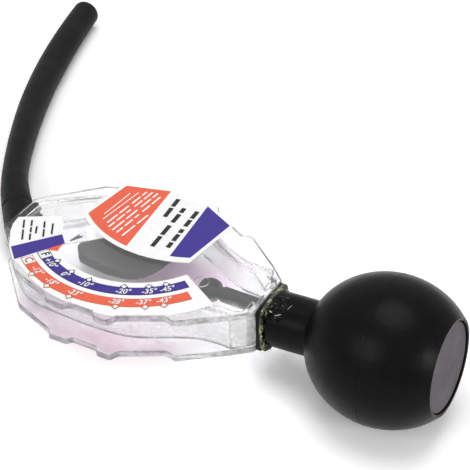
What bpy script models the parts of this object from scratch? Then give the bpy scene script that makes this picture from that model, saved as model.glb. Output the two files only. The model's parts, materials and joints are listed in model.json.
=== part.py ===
"""Dial antifreeze tester: a flat clear chamber with a swinging float, a hand bulb and a rubber hose.

The tester's own frame: +X from the hose end to the bulb end, +Y across the plates, +Z out of the
scale face, with the origin on the back face at the middle of the hose end.  The whole tester lies
on its back, so the empty "tester_pose" tips that frame until the bulb and the lower hose-end edge
both touch the surface, and sets the middle of the part over the world's origin.
"""

from math import atan2, asin, ceil, cos, hypot, pi, radians, sin, sqrt

import bmesh
import bpy
from mathutils import Matrix, Vector

# Clearances shared by all pieces
SEAT_GAP = 0.0003
LABEL_GAP = 0.0001
OVERRUN = 0.001

# Chamber body: two flanged plates with one outline and a lower wall between them
BODY_LENGTH = 0.105
BODY_WIDTH = 0.0756
BODY_DEPTH = 0.018
PLATE_THICKNESS = 0.0026
HOSE_END_WIDTH = 0.0202
BULB_END_WIDTH = 0.0200
PLATE_CORNER_RADIUS = 0.0008
PLATE_EDGE_BEVEL = 0.0003
WALL_THICKNESS = 0.0021
END_WALL_THICKNESS = 0.0026
WALL_INSET_AT_ENDS = 0.0006
TONGUE_THICKNESS = 0.0012
TONGUE_DEPTH = 0.0015

# Half outline of the plates between their ends: shares of the length and of half the width
OUTLINE_SHARES = (
    (0.183, 0.778),
    (0.352, 0.945),
    (0.364, 1.000),
    (0.434, 1.000),
    (0.446, 0.950),
    (0.541, 0.945),
    (0.554, 1.000),
    (0.606, 1.000),
    (0.621, 0.910),
    (0.758, 0.700),
    (0.796, 0.724),
    (0.936, 0.425),
)

# Half outline of the chamber wall's outer face, a bottle's shoulder drawn in to a neck
WALL_SHARES = (
    (0.000, 0.235),
    (0.095, 0.480),
    (0.195, 0.672),
    (0.320, 0.728),
    (0.480, 0.739),
    (0.600, 0.708),
    (0.680, 0.617),
    (0.750, 0.508),
    (0.820, 0.424),
    (0.880, 0.400),
    (0.936, 0.400),
)
WALL_STEPS_PER_SPAN = 4

# Pivot of the float, in the tester's frame, and the pin and bosses that carry it
PIVOT_X = 0.0462
PIVOT_SIDE_SHARE = 0.3492
PIVOT_Y = PIVOT_SIDE_SHARE * BODY_WIDTH / 2
PIN_RADIUS = 0.0011
PIN_CLEARANCE = 0.0001
PIN_SEAT_DEPTH = 0.0014
BOSS_RADIUS = 0.0030

# Float: a half-moon moulding pivoted near its straight side, at rest at the low end of the scale
FLOAT_BOTTOM = 0.0048
FLOAT_THICKNESS = 0.0042
FLOAT_REACH_SHARE = 0.6614
FLOAT_REACH = FLOAT_REACH_SHARE * BODY_WIDTH / 2
FLOAT_EDGE_BEVEL = 0.0003
FLOAT_SWING = radians(100)
FLOAT_OUTLINE_SHARES = (
    (-0.864, -0.392),
    (-0.872, -0.480),
    (-0.798, -0.575),
    (-0.722, -0.643),
    (-0.475, -0.680),
    (-0.202, -0.712),
    (0.080, -0.672),
    (0.210, -0.610),
    (0.315, -0.500),
    (0.385, -0.350),
    (0.425, -0.190),
    (0.440, 0.000),
    (0.385, 0.210),
    (0.230, 0.370),
    (0.000, 0.420),
    (-0.200, 0.330),
    (-0.648, -0.160),
)
WEIGHT_RADIUS = 0.0026
WEIGHT_HEIGHT = 0.0020
WEIGHT_PLACE_SHARE = (-0.380, -0.128)

# Clear pointer arm on the float, and its dark arrow tip
ARM_THICKNESS = 0.0010
ARM_HALF_WIDTH = 0.0026
ARM_REACH = 0.0262
ARM_ANGLE = radians(-158)
ARM_HUB_RADIUS = 0.0042
TIP_THICKNESS = 0.0006
TIP_LENGTH = 0.0050
TIP_HALF_WIDTH = 0.0009
TIP_ANGLE = radians(-110)
TIP_REACH_SHARE = 0.9766
TIP_PLACE_ANGLE = radians(-154.54)

# Shallow round pad moulded under the front plate, over the bulb plug's nose
PAD_X = 0.0800
PAD_Y = -0.0028
PAD_RADIUS = 0.0027
PAD_HEIGHT = 0.0006

# Rest stop and inlet baffle moulded into the back shell
STOP_RADIUS = 0.0010
STOP_PLACE_SHARE = 0.50
BAFFLE_START_X = 0.0136
BAFFLE_START_Y = 0.0058
BAFFLE_END_X = 0.0210
BAFFLE_END_Y = 0.0118
BAFFLE_THICKNESS = 0.0015
BAFFLE_HEIGHT = 0.0125

# Hose nozzle: a slanted collar on the hose end, a spigot for the hose and a tail in the wall
NOZZLE_HEIGHT = 0.0090
NOZZLE_ANGLE = radians(48)
COLLAR_ROOT_RADIUS = 0.0063
COLLAR_OUTLET_RADIUS = 0.0061
COLLAR_REACH = 0.0140
SPIGOT_RADIUS = 0.0032
SPIGOT_LENGTH = 0.0090
NOZZLE_BORE_RADIUS = 0.0020
TAIL_RADIUS = 0.0038
TAIL_REACH = 0.0052

# Hose: outer and bore sizes, and its route from the collar's outlet, in world axes
HOSE_DIAMETER = 0.0118
HOSE_BORE_DIAMETER = 0.0070
HOSE_ROUTE = (
    (0.0000, 0.0000, 0.00000),
    (-0.0034, 0.0037, -0.00020),
    (-0.0073, 0.0081, -0.00070),
    (-0.0119, 0.0140, -0.00130),
    (-0.0162, 0.0204, -0.00175),
    (-0.0205, 0.0277, -0.00200),
    (-0.0248, 0.0356, -0.00205),
    (-0.0290, 0.0438, -0.00205),
    (-0.0331, 0.0522, -0.00205),
    (-0.0371, 0.0608, -0.00205),
    (-0.0408, 0.0696, -0.00205),
    (-0.0444, 0.0786, -0.00205),
    (-0.0478, 0.0880, -0.00205),
    (-0.0510, 0.0974, -0.00205),
    (-0.0540, 0.1070, -0.00205),
    (-0.0568, 0.1168, -0.00205),
    (-0.0594, 0.1267, -0.00205),
    (-0.0617, 0.1363, -0.00205),
)
HOSE_STEPS = 34

# Bulb plug: a squared flange on the bulb end, a stem and nose inside, a spigot in the bulb
FLANGE_THICKNESS = 0.0016
FLANGE_EDGE_INSET = 0.0004
FLANGE_CORNER_RADIUS = 0.0012
STEM_RADIUS = 0.0029
STEM_HEIGHT = 0.0104
STEM_CLEARANCE = 0.0003
STEM_LENGTH = 0.0180
NOSE_LENGTH = 0.0084
NOSE_HALF_WIDTH = 0.0045
NOSE_HALF_HEIGHT = 0.0041
NOSE_STEPS = 12
NOSE_END_SHARE = 0.02
NOSE_FULLNESS = 2.6
WAIST_LENGTH = 0.0024
WAIST_RADIUS = 0.0024
CROSS_BORE_SHARE = 0.30
PLUG_BORE_RADIUS = 0.0016
BULB_SPIGOT_RADIUS = 0.0062
BULB_SPIGOT_LENGTH = 0.0090

# Set glue: a thin rounded square squeezed out between the flange and the bulb's neck
GLUE_THICKNESS = 0.0014
GLUE_HALF_WIDTH = 0.0104
GLUE_HALF_HEIGHT = 0.0096
GLUE_CORNER_RADIUS = 0.0040

# Bulb: a hollow ellipsoid with a round neck, cut flat at its tail for the end disc.
# It is glued on a little askew, so its axis has its own place and lean on the body's end.
BULB_SEAT_SIDE = -0.0008
BULB_SEAT_HEIGHT = 0.00985
BULB_LEAN_UP = radians(2.2)
BULB_LEAN_SIDE = radians(1.5)
BULB_REACH = 0.0453
BULB_HALF_LENGTH = 0.0287
BULB_RADIUS = 0.02625
BULB_WALL = 0.0024
NECK_RADIUS = 0.0099
NECK_FILLET = 0.0012
TAIL_RIM_RADIUS = 0.0170
DISC_RADIUS = 0.0157
DISC_THICKNESS = 0.0020
DISC_RECESS = 0.0006
BULB_SIDES = 48
BULB_STEPS = 22

# Labels: thin printed films on the front plate
LABEL_THICKNESS = 0.00025
LABEL_EDGE_INSET = 0.0005
SCALE_INNER_RADIUS = 0.0330
SCALE_OUTER_RADIUS = 0.0520
SCALE_START_ANGLE = radians(-129)
SCALE_END_ANGLE = radians(-30.5)
KEY_OUTLINE_SHARES = (
    (0.249, -0.343),
    (0.250, -0.224),
    (0.152, 0.129),
    (0.020, -0.088),
    (0.027, -0.208),
    (0.046, -0.318),
    (0.088, -0.492),
)
TITLE_ARC_RADIUS = 0.0461
TITLE_ARC_CENTRE_X = 0.0523
TITLE_ARC_CENTRE_Y = 0.0444
TITLE_LEFT_X = 0.0222
TITLE_LEFT_Y = 0.0097
TITLE_RIGHT_X = 0.0720
TITLE_RIGHT_Y = 0.0026
TITLE_LEFT_TOP_X = 0.0252
TITLE_RIGHT_TOP_X = 0.0756
ARC_STEP = radians(4)

ROUND_SIDES = 32
FINE_SIDES = 24


def clear_scene():
    for item in list(bpy.data.objects):
        bpy.data.objects.remove(item)


def make_material(name, colour, roughness, metallic=0.0, transmission=0.0):
    surface = bpy.data.materials.new(name)
    surface.use_nodes = True
    shader = surface.node_tree.nodes["Principled BSDF"]
    shader.inputs["Base Color"].default_value = (*colour, 1.0)
    shader.inputs["Roughness"].default_value = roughness
    shader.inputs["Metallic"].default_value = metallic
    shader.inputs["Transmission Weight"].default_value = transmission
    surface.diffuse_color = (*colour, 1.0)
    return surface


# Mesh builders

def add_solid(name, mesh_data, surface, parent=None, location=(0, 0, 0)):
    """Turn a bmesh into a named object with one material, and free the bmesh."""
    bmesh.ops.recalc_face_normals(mesh_data, faces=mesh_data.faces)
    mesh = bpy.data.meshes.new(name)
    mesh_data.to_mesh(mesh)
    mesh_data.free()
    item = bpy.data.objects.new(name, mesh)
    bpy.context.scene.collection.objects.link(item)
    item.parent = parent
    item.location = location
    if surface is not None:
        mesh.materials.append(surface)
    return item


def as_tool(item):
    """Mark an object as a shape that only cuts or joins another one."""
    item.hide_render = True
    item.display_type = "WIRE"
    return item


def combine(item, tool, operation):
    modifier = item.modifiers.new(operation.lower() + "_" + tool.name, "BOOLEAN")
    modifier.object = tool
    modifier.operation = operation
    modifier.solver = "EXACT"
    as_tool(tool)


def smooth_item(item, angle=radians(35)):
    item.data.shade_smooth()
    item.data.set_sharp_from_angle(angle=angle)


def prism(outline, low, high):
    """A closed straight-walled block over an outline of (x, y) points."""
    block = bmesh.new()
    base = [block.verts.new((x, y, low)) for x, y in outline]
    face = block.faces.new(base)
    grown = bmesh.ops.extrude_face_region(block, geom=[face])
    raised = [part for part in grown["geom"] if isinstance(part, bmesh.types.BMVert)]
    bmesh.ops.translate(block, verts=raised, vec=(0, 0, high - low))
    bmesh.ops.recalc_face_normals(block, faces=block.faces)
    return block


def round_upright_edges(block, radius, segments):
    upright = [
        edge for edge in block.edges
        if abs((edge.verts[0].co - edge.verts[1].co).normalized().z) > 0.99
        and edge.calc_face_angle(0) > radians(8)
    ]
    bmesh.ops.bevel(
        block, geom=upright, offset=radius, offset_type="OFFSET", segments=segments,
        profile=0.5, affect="EDGES", clamp_overlap=True,
    )


def bevel_rims(block, width):
    """Break the upper and lower outline edges of a prism."""
    rims = [
        edge for edge in block.edges
        if len(edge.link_faces) == 2
        and any(abs(face.normal.z) > 0.99 for face in edge.link_faces)
        and not all(abs(face.normal.z) > 0.99 for face in edge.link_faces)
    ]
    bmesh.ops.bevel(
        block, geom=rims, offset=width, offset_type="OFFSET", segments=1,
        profile=0.5, affect="EDGES", clamp_overlap=True,
    )


def drum(radius, low, high, sides=ROUND_SIDES, centre=(0, 0)):
    """A cylinder along Z between two heights."""
    outline = [
        (centre[0] + radius * cos(2 * pi * step / sides), centre[1] + radius * sin(2 * pi * step / sides))
        for step in range(sides)
    ]
    return prism(outline, low, high)


def cone_between(start, end, start_radius, end_radius, sides=ROUND_SIDES):
    """A straight round bar or cone from one point to another."""
    start = Vector(start)
    end = Vector(end)
    turn = (end - start).to_track_quat("Z", "Y").to_matrix().to_4x4()
    place = Matrix.Translation((start + end) / 2) @ turn
    bar = bmesh.new()
    bmesh.ops.create_cone(
        bar, cap_ends=True, cap_tris=False, segments=sides,
        radius1=start_radius, radius2=end_radius, depth=(end - start).length, matrix=place,
    )
    return bar


def turned_ring(profile, sides):
    """Turn a closed profile of (x, radius) points about the X axis into one ring-like solid."""
    ring = bmesh.new()
    rows = []
    for side in range(sides):
        angle = 2 * pi * side / sides
        rows.append([ring.verts.new((x, r * sin(angle), r * cos(angle))) for x, r in profile])
    count = len(profile)
    for side in range(sides):
        here = rows[side]
        there = rows[(side + 1) % sides]
        for step in range(count):
            after = (step + 1) % count
            ring.faces.new((here[step], here[after], there[after], there[step]))
    bmesh.ops.recalc_face_normals(ring, faces=ring.faces)
    return ring


def tube_mesh(points, radius, bevel_steps):
    """A round bar along points, made as a bevelled curve with filled ends and read as a mesh."""
    curve = bpy.data.curves.new("tube_path", "CURVE")
    curve.dimensions = "3D"
    curve.bevel_depth = radius
    curve.bevel_resolution = bevel_steps
    curve.use_fill_caps = True
    spline = curve.splines.new("POLY")
    spline.points.add(len(points) - 1)
    for point, place in zip(spline.points, points):
        point.co = (*place, 1.0)
    guide = bpy.data.objects.new("tube_path", curve)
    bpy.context.scene.collection.objects.link(guide)
    bpy.context.view_layer.update()
    seen = guide.evaluated_get(bpy.context.evaluated_depsgraph_get())
    mesh = bpy.data.meshes.new_from_object(seen)
    solid = bmesh.new()
    solid.from_mesh(mesh)
    bmesh.ops.remove_doubles(solid, verts=solid.verts, dist=radius / 1000)
    bpy.data.objects.remove(guide)
    bpy.data.curves.remove(curve)
    bpy.data.meshes.remove(mesh)
    return solid


# Curves and outlines

def smooth_path(points, steps):
    """Points at even parameter steps on a Catmull-Rom curve through the given points."""
    ends = [tuple(2 * a - b for a, b in zip(points[0], points[1]))]
    tail = [tuple(2 * a - b for a, b in zip(points[-1], points[-2]))]
    hull = ends + list(points) + tail
    path = []
    for span in range(len(points) - 1):
        p0, p1, p2, p3 = hull[span:span + 4]
        for step in range(steps):
            t = step / steps
            path.append(tuple(
                0.5 * (2 * b + (c - a) * t + (2 * a - 5 * b + 4 * c - d) * t * t
                       + (3 * b - a - 3 * c + d) * t * t * t)
                for a, b, c, d in zip(p0, p1, p2, p3)
            ))
    path.append(tuple(points[-1]))
    return path


def even_path(points, count):
    """Read a smooth curve through the points again at equal lengths along it."""
    dense = [Vector(place) for place in smooth_path(points, 12)]
    lengths = [0.0]
    for before, after in zip(dense, dense[1:]):
        lengths.append(lengths[-1] + (after - before).length)
    path = []
    index = 0
    for step in range(count + 1):
        target = lengths[-1] * step / count
        while index < len(dense) - 2 and lengths[index + 1] < target:
            index += 1
        share = (target - lengths[index]) / (lengths[index + 1] - lengths[index])
        path.append(dense[index].lerp(dense[index + 1], min(share, 1.0)))
    return path


def inset_path(points, distance):
    """Move each point of an open path to its right-hand side by a distance."""
    moved = []
    for index, (x, y) in enumerate(points):
        before = points[max(index - 1, 0)]
        after = points[min(index + 1, len(points) - 1)]
        run = after[0] - before[0]
        rise = after[1] - before[1]
        size = hypot(run, rise)
        moved.append((x + distance * rise / size, y - distance * run / size))
    return moved


def mirrored(half):
    """Close a half outline with its mirror image across the X axis."""
    return [(x, -y) for x, y in half] + [(x, y) for x, y in reversed(half)]


def body_half_outline(inset=0.0):
    half = [(x * BODY_LENGTH, y * BODY_WIDTH / 2) for x, y in OUTLINE_SHARES]
    whole = [(0.0, HOSE_END_WIDTH / 2)] + half + [(BODY_LENGTH, BULB_END_WIDTH / 2)]
    if inset == 0.0:
        return whole
    moved = inset_path(whole, inset)
    moved[0] = (inset, whole[0][1])
    moved[-1] = (BODY_LENGTH - inset, whole[-1][1])
    return moved


def wall_half_curve():
    places = [(x * BODY_LENGTH, y * BODY_WIDTH / 2) for x, y in WALL_SHARES]
    return smooth_path(places, WALL_STEPS_PER_SPAN)


def wall_half_outline():
    """The wall's outer face, stepping out to a block as wide as the plates at the bulb end."""
    block_start = OUTLINE_SHARES[-1]
    corner = (block_start[0] * BODY_LENGTH, block_start[1] * BODY_WIDTH / 2 - WALL_INSET_AT_ENDS)
    end = (BODY_LENGTH - WALL_INSET_AT_ENDS, BULB_END_WIDTH / 2 - WALL_INSET_AT_ENDS)
    curve = wall_half_curve()
    curve[0] = (WALL_INSET_AT_ENDS, curve[0][1])
    return curve + [corner, end]


def cavity_half_outline(extra=0.0):
    """The chamber's inner face, drawn in by the wall's thickness and by an extra inset."""
    inner = inset_path(wall_half_curve(), WALL_THICKNESS + extra)
    first_x = END_WALL_THICKNESS + extra
    last_x = BODY_LENGTH - END_WALL_THICKNESS - extra
    kept = [point for point in inner if first_x + OVERRUN < point[0] < last_x]
    slope = (kept[1][1] - kept[0][1]) / (kept[1][0] - kept[0][0])
    start = (first_x, kept[0][1] - slope * (kept[0][0] - first_x))
    return [start] + kept + [(last_x, kept[-1][1] - WALL_THICKNESS)]


def arc_points(radius, start, end, centre):
    count = max(2, ceil(abs(end - start) / ARC_STEP))
    angles = [start + (end - start) * step / count for step in range(count + 1)]
    return [(centre[0] + radius * cos(angle), centre[1] + radius * sin(angle)) for angle in angles]


# Pieces

def make_front_shell(parent, surface):
    low = BODY_DEPTH - PLATE_THICKNESS
    plate = prism(mirrored(body_half_outline()), low, BODY_DEPTH)
    round_upright_edges(plate, PLATE_CORNER_RADIUS, 2)
    bevel_rims(plate, PLATE_EDGE_BEVEL)
    shell = add_solid("front_shell", plate, surface, parent)

    tongue_top = low + PLATE_THICKNESS / 2
    tongue = prism(mirrored(cavity_half_outline(SEAT_GAP)), low - TONGUE_DEPTH, tongue_top)
    hollow_outline = mirrored(cavity_half_outline(SEAT_GAP + TONGUE_THICKNESS))
    hollow = prism(hollow_outline, low - TONGUE_DEPTH - OVERRUN, low)
    tongue_item = add_solid("tongue_tool", tongue, surface, parent)
    hollow_item = add_solid("tongue_hollow_tool", hollow, None, parent)
    combine(tongue_item, hollow_item, "DIFFERENCE")
    notch_low = low - TONGUE_DEPTH - OVERRUN
    notch_x = BODY_LENGTH - END_WALL_THICKNESS - SEAT_GAP - TONGUE_THICKNESS - OVERRUN
    notch_half = STEM_RADIUS + SEAT_GAP + OVERRUN
    notch = prism(
        [(notch_x, -notch_half), (BODY_LENGTH, -notch_half), (BODY_LENGTH, notch_half), (notch_x, notch_half)],
        notch_low, low,
    )
    combine(tongue_item, add_solid("tongue_notch_tool", notch, None, parent), "DIFFERENCE")
    combine(shell, tongue_item, "UNION")

    boss_low = FLOAT_BOTTOM + FLOAT_THICKNESS + SEAT_GAP + ARM_THICKNESS + SEAT_GAP
    boss = drum(BOSS_RADIUS, boss_low, tongue_top, centre=(PIVOT_X, PIVOT_Y))
    combine(shell, add_solid("front_boss_tool", boss, surface, parent), "UNION")
    seat = drum(
        PIN_RADIUS + SEAT_GAP, boss_low - OVERRUN, low + PIN_SEAT_DEPTH,
        sides=FINE_SIDES, centre=(PIVOT_X, PIVOT_Y),
    )
    combine(shell, add_solid("front_seat_tool", seat, None, parent), "DIFFERENCE")
    pad = drum(PAD_RADIUS, low - PAD_HEIGHT, low + PAD_HEIGHT, centre=(PAD_X, PAD_Y))
    combine(shell, add_solid("pad_tool", pad, surface, parent), "UNION")
    return shell


def make_back_shell(parent, surface):
    wall_top = BODY_DEPTH - PLATE_THICKNESS - SEAT_GAP
    plate = prism(mirrored(body_half_outline()), 0.0, PLATE_THICKNESS)
    round_upright_edges(plate, PLATE_CORNER_RADIUS, 2)
    bevel_rims(plate, PLATE_EDGE_BEVEL)
    shell = add_solid("back_shell", plate, surface, parent)

    wall = prism(mirrored(wall_half_outline()), PLATE_THICKNESS / 2, wall_top)
    combine(shell, add_solid("wall_tool", wall, surface, parent), "UNION")
    cavity = prism(mirrored(cavity_half_outline()), PLATE_THICKNESS, wall_top + OVERRUN)
    combine(shell, add_solid("cavity_tool", cavity, None, parent), "DIFFERENCE")

    floor = PLATE_THICKNESS / 2
    boss = drum(BOSS_RADIUS, floor, FLOAT_BOTTOM - SEAT_GAP, centre=(PIVOT_X, PIVOT_Y))
    combine(shell, add_solid("back_boss_tool", boss, surface, parent), "UNION")
    seat = drum(
        PIN_RADIUS + SEAT_GAP, PLATE_THICKNESS - PIN_SEAT_DEPTH, FLOAT_BOTTOM + OVERRUN,
        sides=FINE_SIDES, centre=(PIVOT_X, PIVOT_Y),
    )
    combine(shell, add_solid("back_seat_tool", seat, None, parent), "DIFFERENCE")

    stop = drum(STOP_RADIUS, floor, FLOAT_BOTTOM + FLOAT_THICKNESS, sides=16, centre=rest_stop_place())
    combine(shell, add_solid("rest_stop_tool", stop, surface, parent), "UNION")

    run = BAFFLE_END_X - BAFFLE_START_X
    rise = BAFFLE_END_Y - BAFFLE_START_Y
    size = hypot(run, rise)
    side_x = -rise / size * BAFFLE_THICKNESS / 2
    side_y = run / size * BAFFLE_THICKNESS / 2
    baffle = prism(
        [
            (BAFFLE_START_X - side_x, BAFFLE_START_Y - side_y),
            (BAFFLE_END_X - side_x, BAFFLE_END_Y - side_y),
            (BAFFLE_END_X + side_x, BAFFLE_END_Y + side_y),
            (BAFFLE_START_X + side_x, BAFFLE_START_Y + side_y),
        ],
        floor, BAFFLE_HEIGHT,
    )
    combine(shell, add_solid("baffle_tool", baffle, surface, parent), "UNION")

    inlet = cone_between(
        (-OVERRUN, 0.0, NOZZLE_HEIGHT), (TAIL_REACH + OVERRUN, 0.0, NOZZLE_HEIGHT),
        TAIL_RADIUS + SEAT_GAP, TAIL_RADIUS + SEAT_GAP,
    )
    combine(shell, add_solid("inlet_hole_tool", inlet, None, parent), "DIFFERENCE")
    outlet = cone_between(
        (BODY_LENGTH - END_WALL_THICKNESS - OVERRUN, 0.0, STEM_HEIGHT),
        (BODY_LENGTH + OVERRUN, 0.0, STEM_HEIGHT),
        STEM_RADIUS + STEM_CLEARANCE, STEM_RADIUS + STEM_CLEARANCE,
    )
    combine(shell, add_solid("outlet_hole_tool", outlet, None, parent), "DIFFERENCE")
    return shell


def float_point(share):
    return (share[0] * FLOAT_REACH, share[1] * FLOAT_REACH)


def rest_stop_place():
    """Just behind the straight side of the float, where the float lies at rest."""
    first = Vector(float_point(FLOAT_OUTLINE_SHARES[-2]))
    last = Vector(float_point(FLOAT_OUTLINE_SHARES[-1]))
    along = (first - last).normalized()
    outward = Vector((-along.y, along.x))
    spot = last.lerp(first, STOP_PLACE_SHARE) + outward * (STOP_RADIUS + SEAT_GAP)
    return (PIVOT_X + spot.x, PIVOT_Y + spot.y)


def make_float(parent, surface):
    body = prism([float_point(share) for share in FLOAT_OUTLINE_SHARES], 0.0, FLOAT_THICKNESS)
    bevel_rims(body, FLOAT_EDGE_BEVEL)
    item = add_solid("float", body, surface, parent, (PIVOT_X, PIVOT_Y, FLOAT_BOTTOM))
    hole = drum(PIN_RADIUS + PIN_CLEARANCE, -OVERRUN, FLOAT_THICKNESS + OVERRUN, sides=FINE_SIDES)
    combine(item, add_solid("float_hole_tool", hole, None, item), "DIFFERENCE")
    pocket = drum(
        WEIGHT_RADIUS + SEAT_GAP, -OVERRUN, WEIGHT_HEIGHT + SEAT_GAP,
        sides=FINE_SIDES, centre=float_point(WEIGHT_PLACE_SHARE),
    )
    combine(item, add_solid("float_pocket_tool", pocket, None, item), "DIFFERENCE")
    return item


def make_float_weight(parent, surface):
    slug = drum(WEIGHT_RADIUS, 0.0, WEIGHT_HEIGHT, sides=FINE_SIDES)
    item = add_solid("float_weight", slug, surface, parent, (*float_point(WEIGHT_PLACE_SHARE), 0.0))
    smooth_item(item)
    return item


def make_pointer_arm(parent, surface):
    """A flat clear strip from a ring round the pin to a rounded end under the arrow tip."""
    centre = (ARM_REACH * cos(ARM_ANGLE), ARM_REACH * sin(ARM_ANGLE))
    spread = asin(ARM_HALF_WIDTH / ARM_HUB_RADIUS)
    hub = arc_points(ARM_HUB_RADIUS, ARM_ANGLE + spread, ARM_ANGLE + 2 * pi - spread, (0, 0))
    nose_centre = (
        centre[0] - ARM_HALF_WIDTH * cos(ARM_ANGLE),
        centre[1] - ARM_HALF_WIDTH * sin(ARM_ANGLE),
    )
    nose = arc_points(ARM_HALF_WIDTH, ARM_ANGLE - pi / 2, ARM_ANGLE + pi / 2, nose_centre)
    strip = prism(hub + nose, 0.0, ARM_THICKNESS)
    item = add_solid("pointer_arm", strip, surface, parent, (0, 0, FLOAT_THICKNESS + SEAT_GAP))
    hole = drum(PIN_RADIUS + PIN_CLEARANCE, -OVERRUN, ARM_THICKNESS + OVERRUN, sides=FINE_SIDES)
    combine(item, add_solid("arm_hole_tool", hole, None, item), "DIFFERENCE")
    return item


def make_pointer_tip(parent, surface):
    """A small dark arrow with a notched tail, lying on the end of the arm."""
    half = TIP_LENGTH / 2
    reach = TIP_REACH_SHARE * ARM_REACH
    arrow = [(half, 0.0), (-half, TIP_HALF_WIDTH), (-half / 2, 0.0), (-half, -TIP_HALF_WIDTH)]
    placed = []
    for x, y in arrow:
        placed.append((
            reach * cos(TIP_PLACE_ANGLE) + x * cos(TIP_ANGLE) - y * sin(TIP_ANGLE),
            reach * sin(TIP_PLACE_ANGLE) + x * sin(TIP_ANGLE) + y * cos(TIP_ANGLE),
        ))
    base = FLOAT_THICKNESS + ARM_THICKNESS + 2 * SEAT_GAP
    return add_solid("pointer_tip", prism(placed, 0.0, TIP_THICKNESS), surface, parent, (0, 0, base))


def make_pivot_pin(parent, surface):
    low = PLATE_THICKNESS - PIN_SEAT_DEPTH + SEAT_GAP
    high = BODY_DEPTH - PLATE_THICKNESS + PIN_SEAT_DEPTH - SEAT_GAP
    pin = drum(PIN_RADIUS, low, high, sides=FINE_SIDES, centre=(PIVOT_X, PIVOT_Y))
    item = add_solid("pivot_pin", pin, surface, parent)
    smooth_item(item)
    return item


def nozzle_direction():
    return Vector((-cos(NOZZLE_ANGLE), sin(NOZZLE_ANGLE), 0.0))


def make_inlet_nozzle(parent, surface):
    """A slanted collar cut flush with the hose end, with a spigot ahead and a tail through the wall."""
    root = Vector((0.0, 0.0, NOZZLE_HEIGHT))
    ahead = nozzle_direction()
    outlet = root + ahead * COLLAR_REACH
    back = root - ahead * COLLAR_REACH
    collar = cone_between(back, outlet, 2 * COLLAR_ROOT_RADIUS - COLLAR_OUTLET_RADIUS, COLLAR_OUTLET_RADIUS)
    item = add_solid("inlet_nozzle", collar, surface, parent)
    behind_x = -SEAT_GAP
    reach = COLLAR_REACH + COLLAR_ROOT_RADIUS
    behind = prism(
        [(behind_x, -2 * reach), (behind_x + 2 * reach, -2 * reach),
         (behind_x + 2 * reach, 2 * reach), (behind_x, 2 * reach)],
        -reach, BODY_DEPTH + reach,
    )
    combine(item, add_solid("collar_trim_tool", behind, None, parent), "DIFFERENCE")
    spigot = cone_between(
        outlet - ahead * OVERRUN, outlet + ahead * SPIGOT_LENGTH, SPIGOT_RADIUS, SPIGOT_RADIUS, FINE_SIDES,
    )
    combine(item, add_solid("spigot_tool", spigot, surface, parent), "UNION")
    tail = cone_between(
        (-SEAT_GAP - OVERRUN, 0.0, NOZZLE_HEIGHT), (TAIL_REACH, 0.0, NOZZLE_HEIGHT), TAIL_RADIUS, TAIL_RADIUS,
        FINE_SIDES,
    )
    combine(item, add_solid("tail_tool", tail, surface, parent), "UNION")
    bend = root - Vector((OVERRUN + SEAT_GAP, 0.0, 0.0))
    slanted = cone_between(
        root - ahead * OVERRUN, outlet + ahead * (SPIGOT_LENGTH + OVERRUN),
        NOZZLE_BORE_RADIUS, NOZZLE_BORE_RADIUS, FINE_SIDES,
    )
    combine(item, add_solid("slanted_bore_tool", slanted, None, parent), "DIFFERENCE")
    straight = cone_between(
        bend, (TAIL_REACH + OVERRUN, 0.0, NOZZLE_HEIGHT), NOZZLE_BORE_RADIUS, NOZZLE_BORE_RADIUS, FINE_SIDES,
    )
    combine(item, add_solid("straight_bore_tool", straight, None, parent), "DIFFERENCE")
    return item


def make_hose(pose, surface):
    """The hose lies on the surface, so its route is in world axes from the collar's outlet."""
    root = Vector((0.0, 0.0, NOZZLE_HEIGHT)) + nozzle_direction() * (COLLAR_REACH + SEAT_GAP)
    start = pose @ root
    path = even_path(HOSE_ROUTE, HOSE_STEPS)
    outer = tube_mesh(path, HOSE_DIAMETER / 2, 4)
    item = add_solid("hose", outer, surface, None, start)
    before = path[0] - (path[1] - path[0]).normalized() * OVERRUN
    after = path[-1] + (path[-1] - path[-2]).normalized() * OVERRUN
    inner = tube_mesh([before] + path + [after], HOSE_BORE_DIAMETER / 2, 3)
    combine(item, add_solid("hose_bore_tool", inner, None, None, start), "DIFFERENCE")
    smooth_item(item)
    return item


def ellipse_half(radius, long_radius, share):
    """Half length of an ellipse where its height is the given radius."""
    return long_radius * sqrt(1.0 - (share / radius) ** 2)


def bulb_axis():
    """The bulb's own frame: +X along its axis, from the middle of the seat on the body's end."""
    seat = Matrix.Translation((BODY_LENGTH, BULB_SEAT_SIDE, BULB_SEAT_HEIGHT))
    return seat @ Matrix.Rotation(BULB_LEAN_SIDE, 4, "Z") @ Matrix.Rotation(-BULB_LEAN_UP, 4, "Y")


def neck_start():
    return SEAT_GAP + FLANGE_THICKNESS + SEAT_GAP + GLUE_THICKNESS + SEAT_GAP


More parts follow.
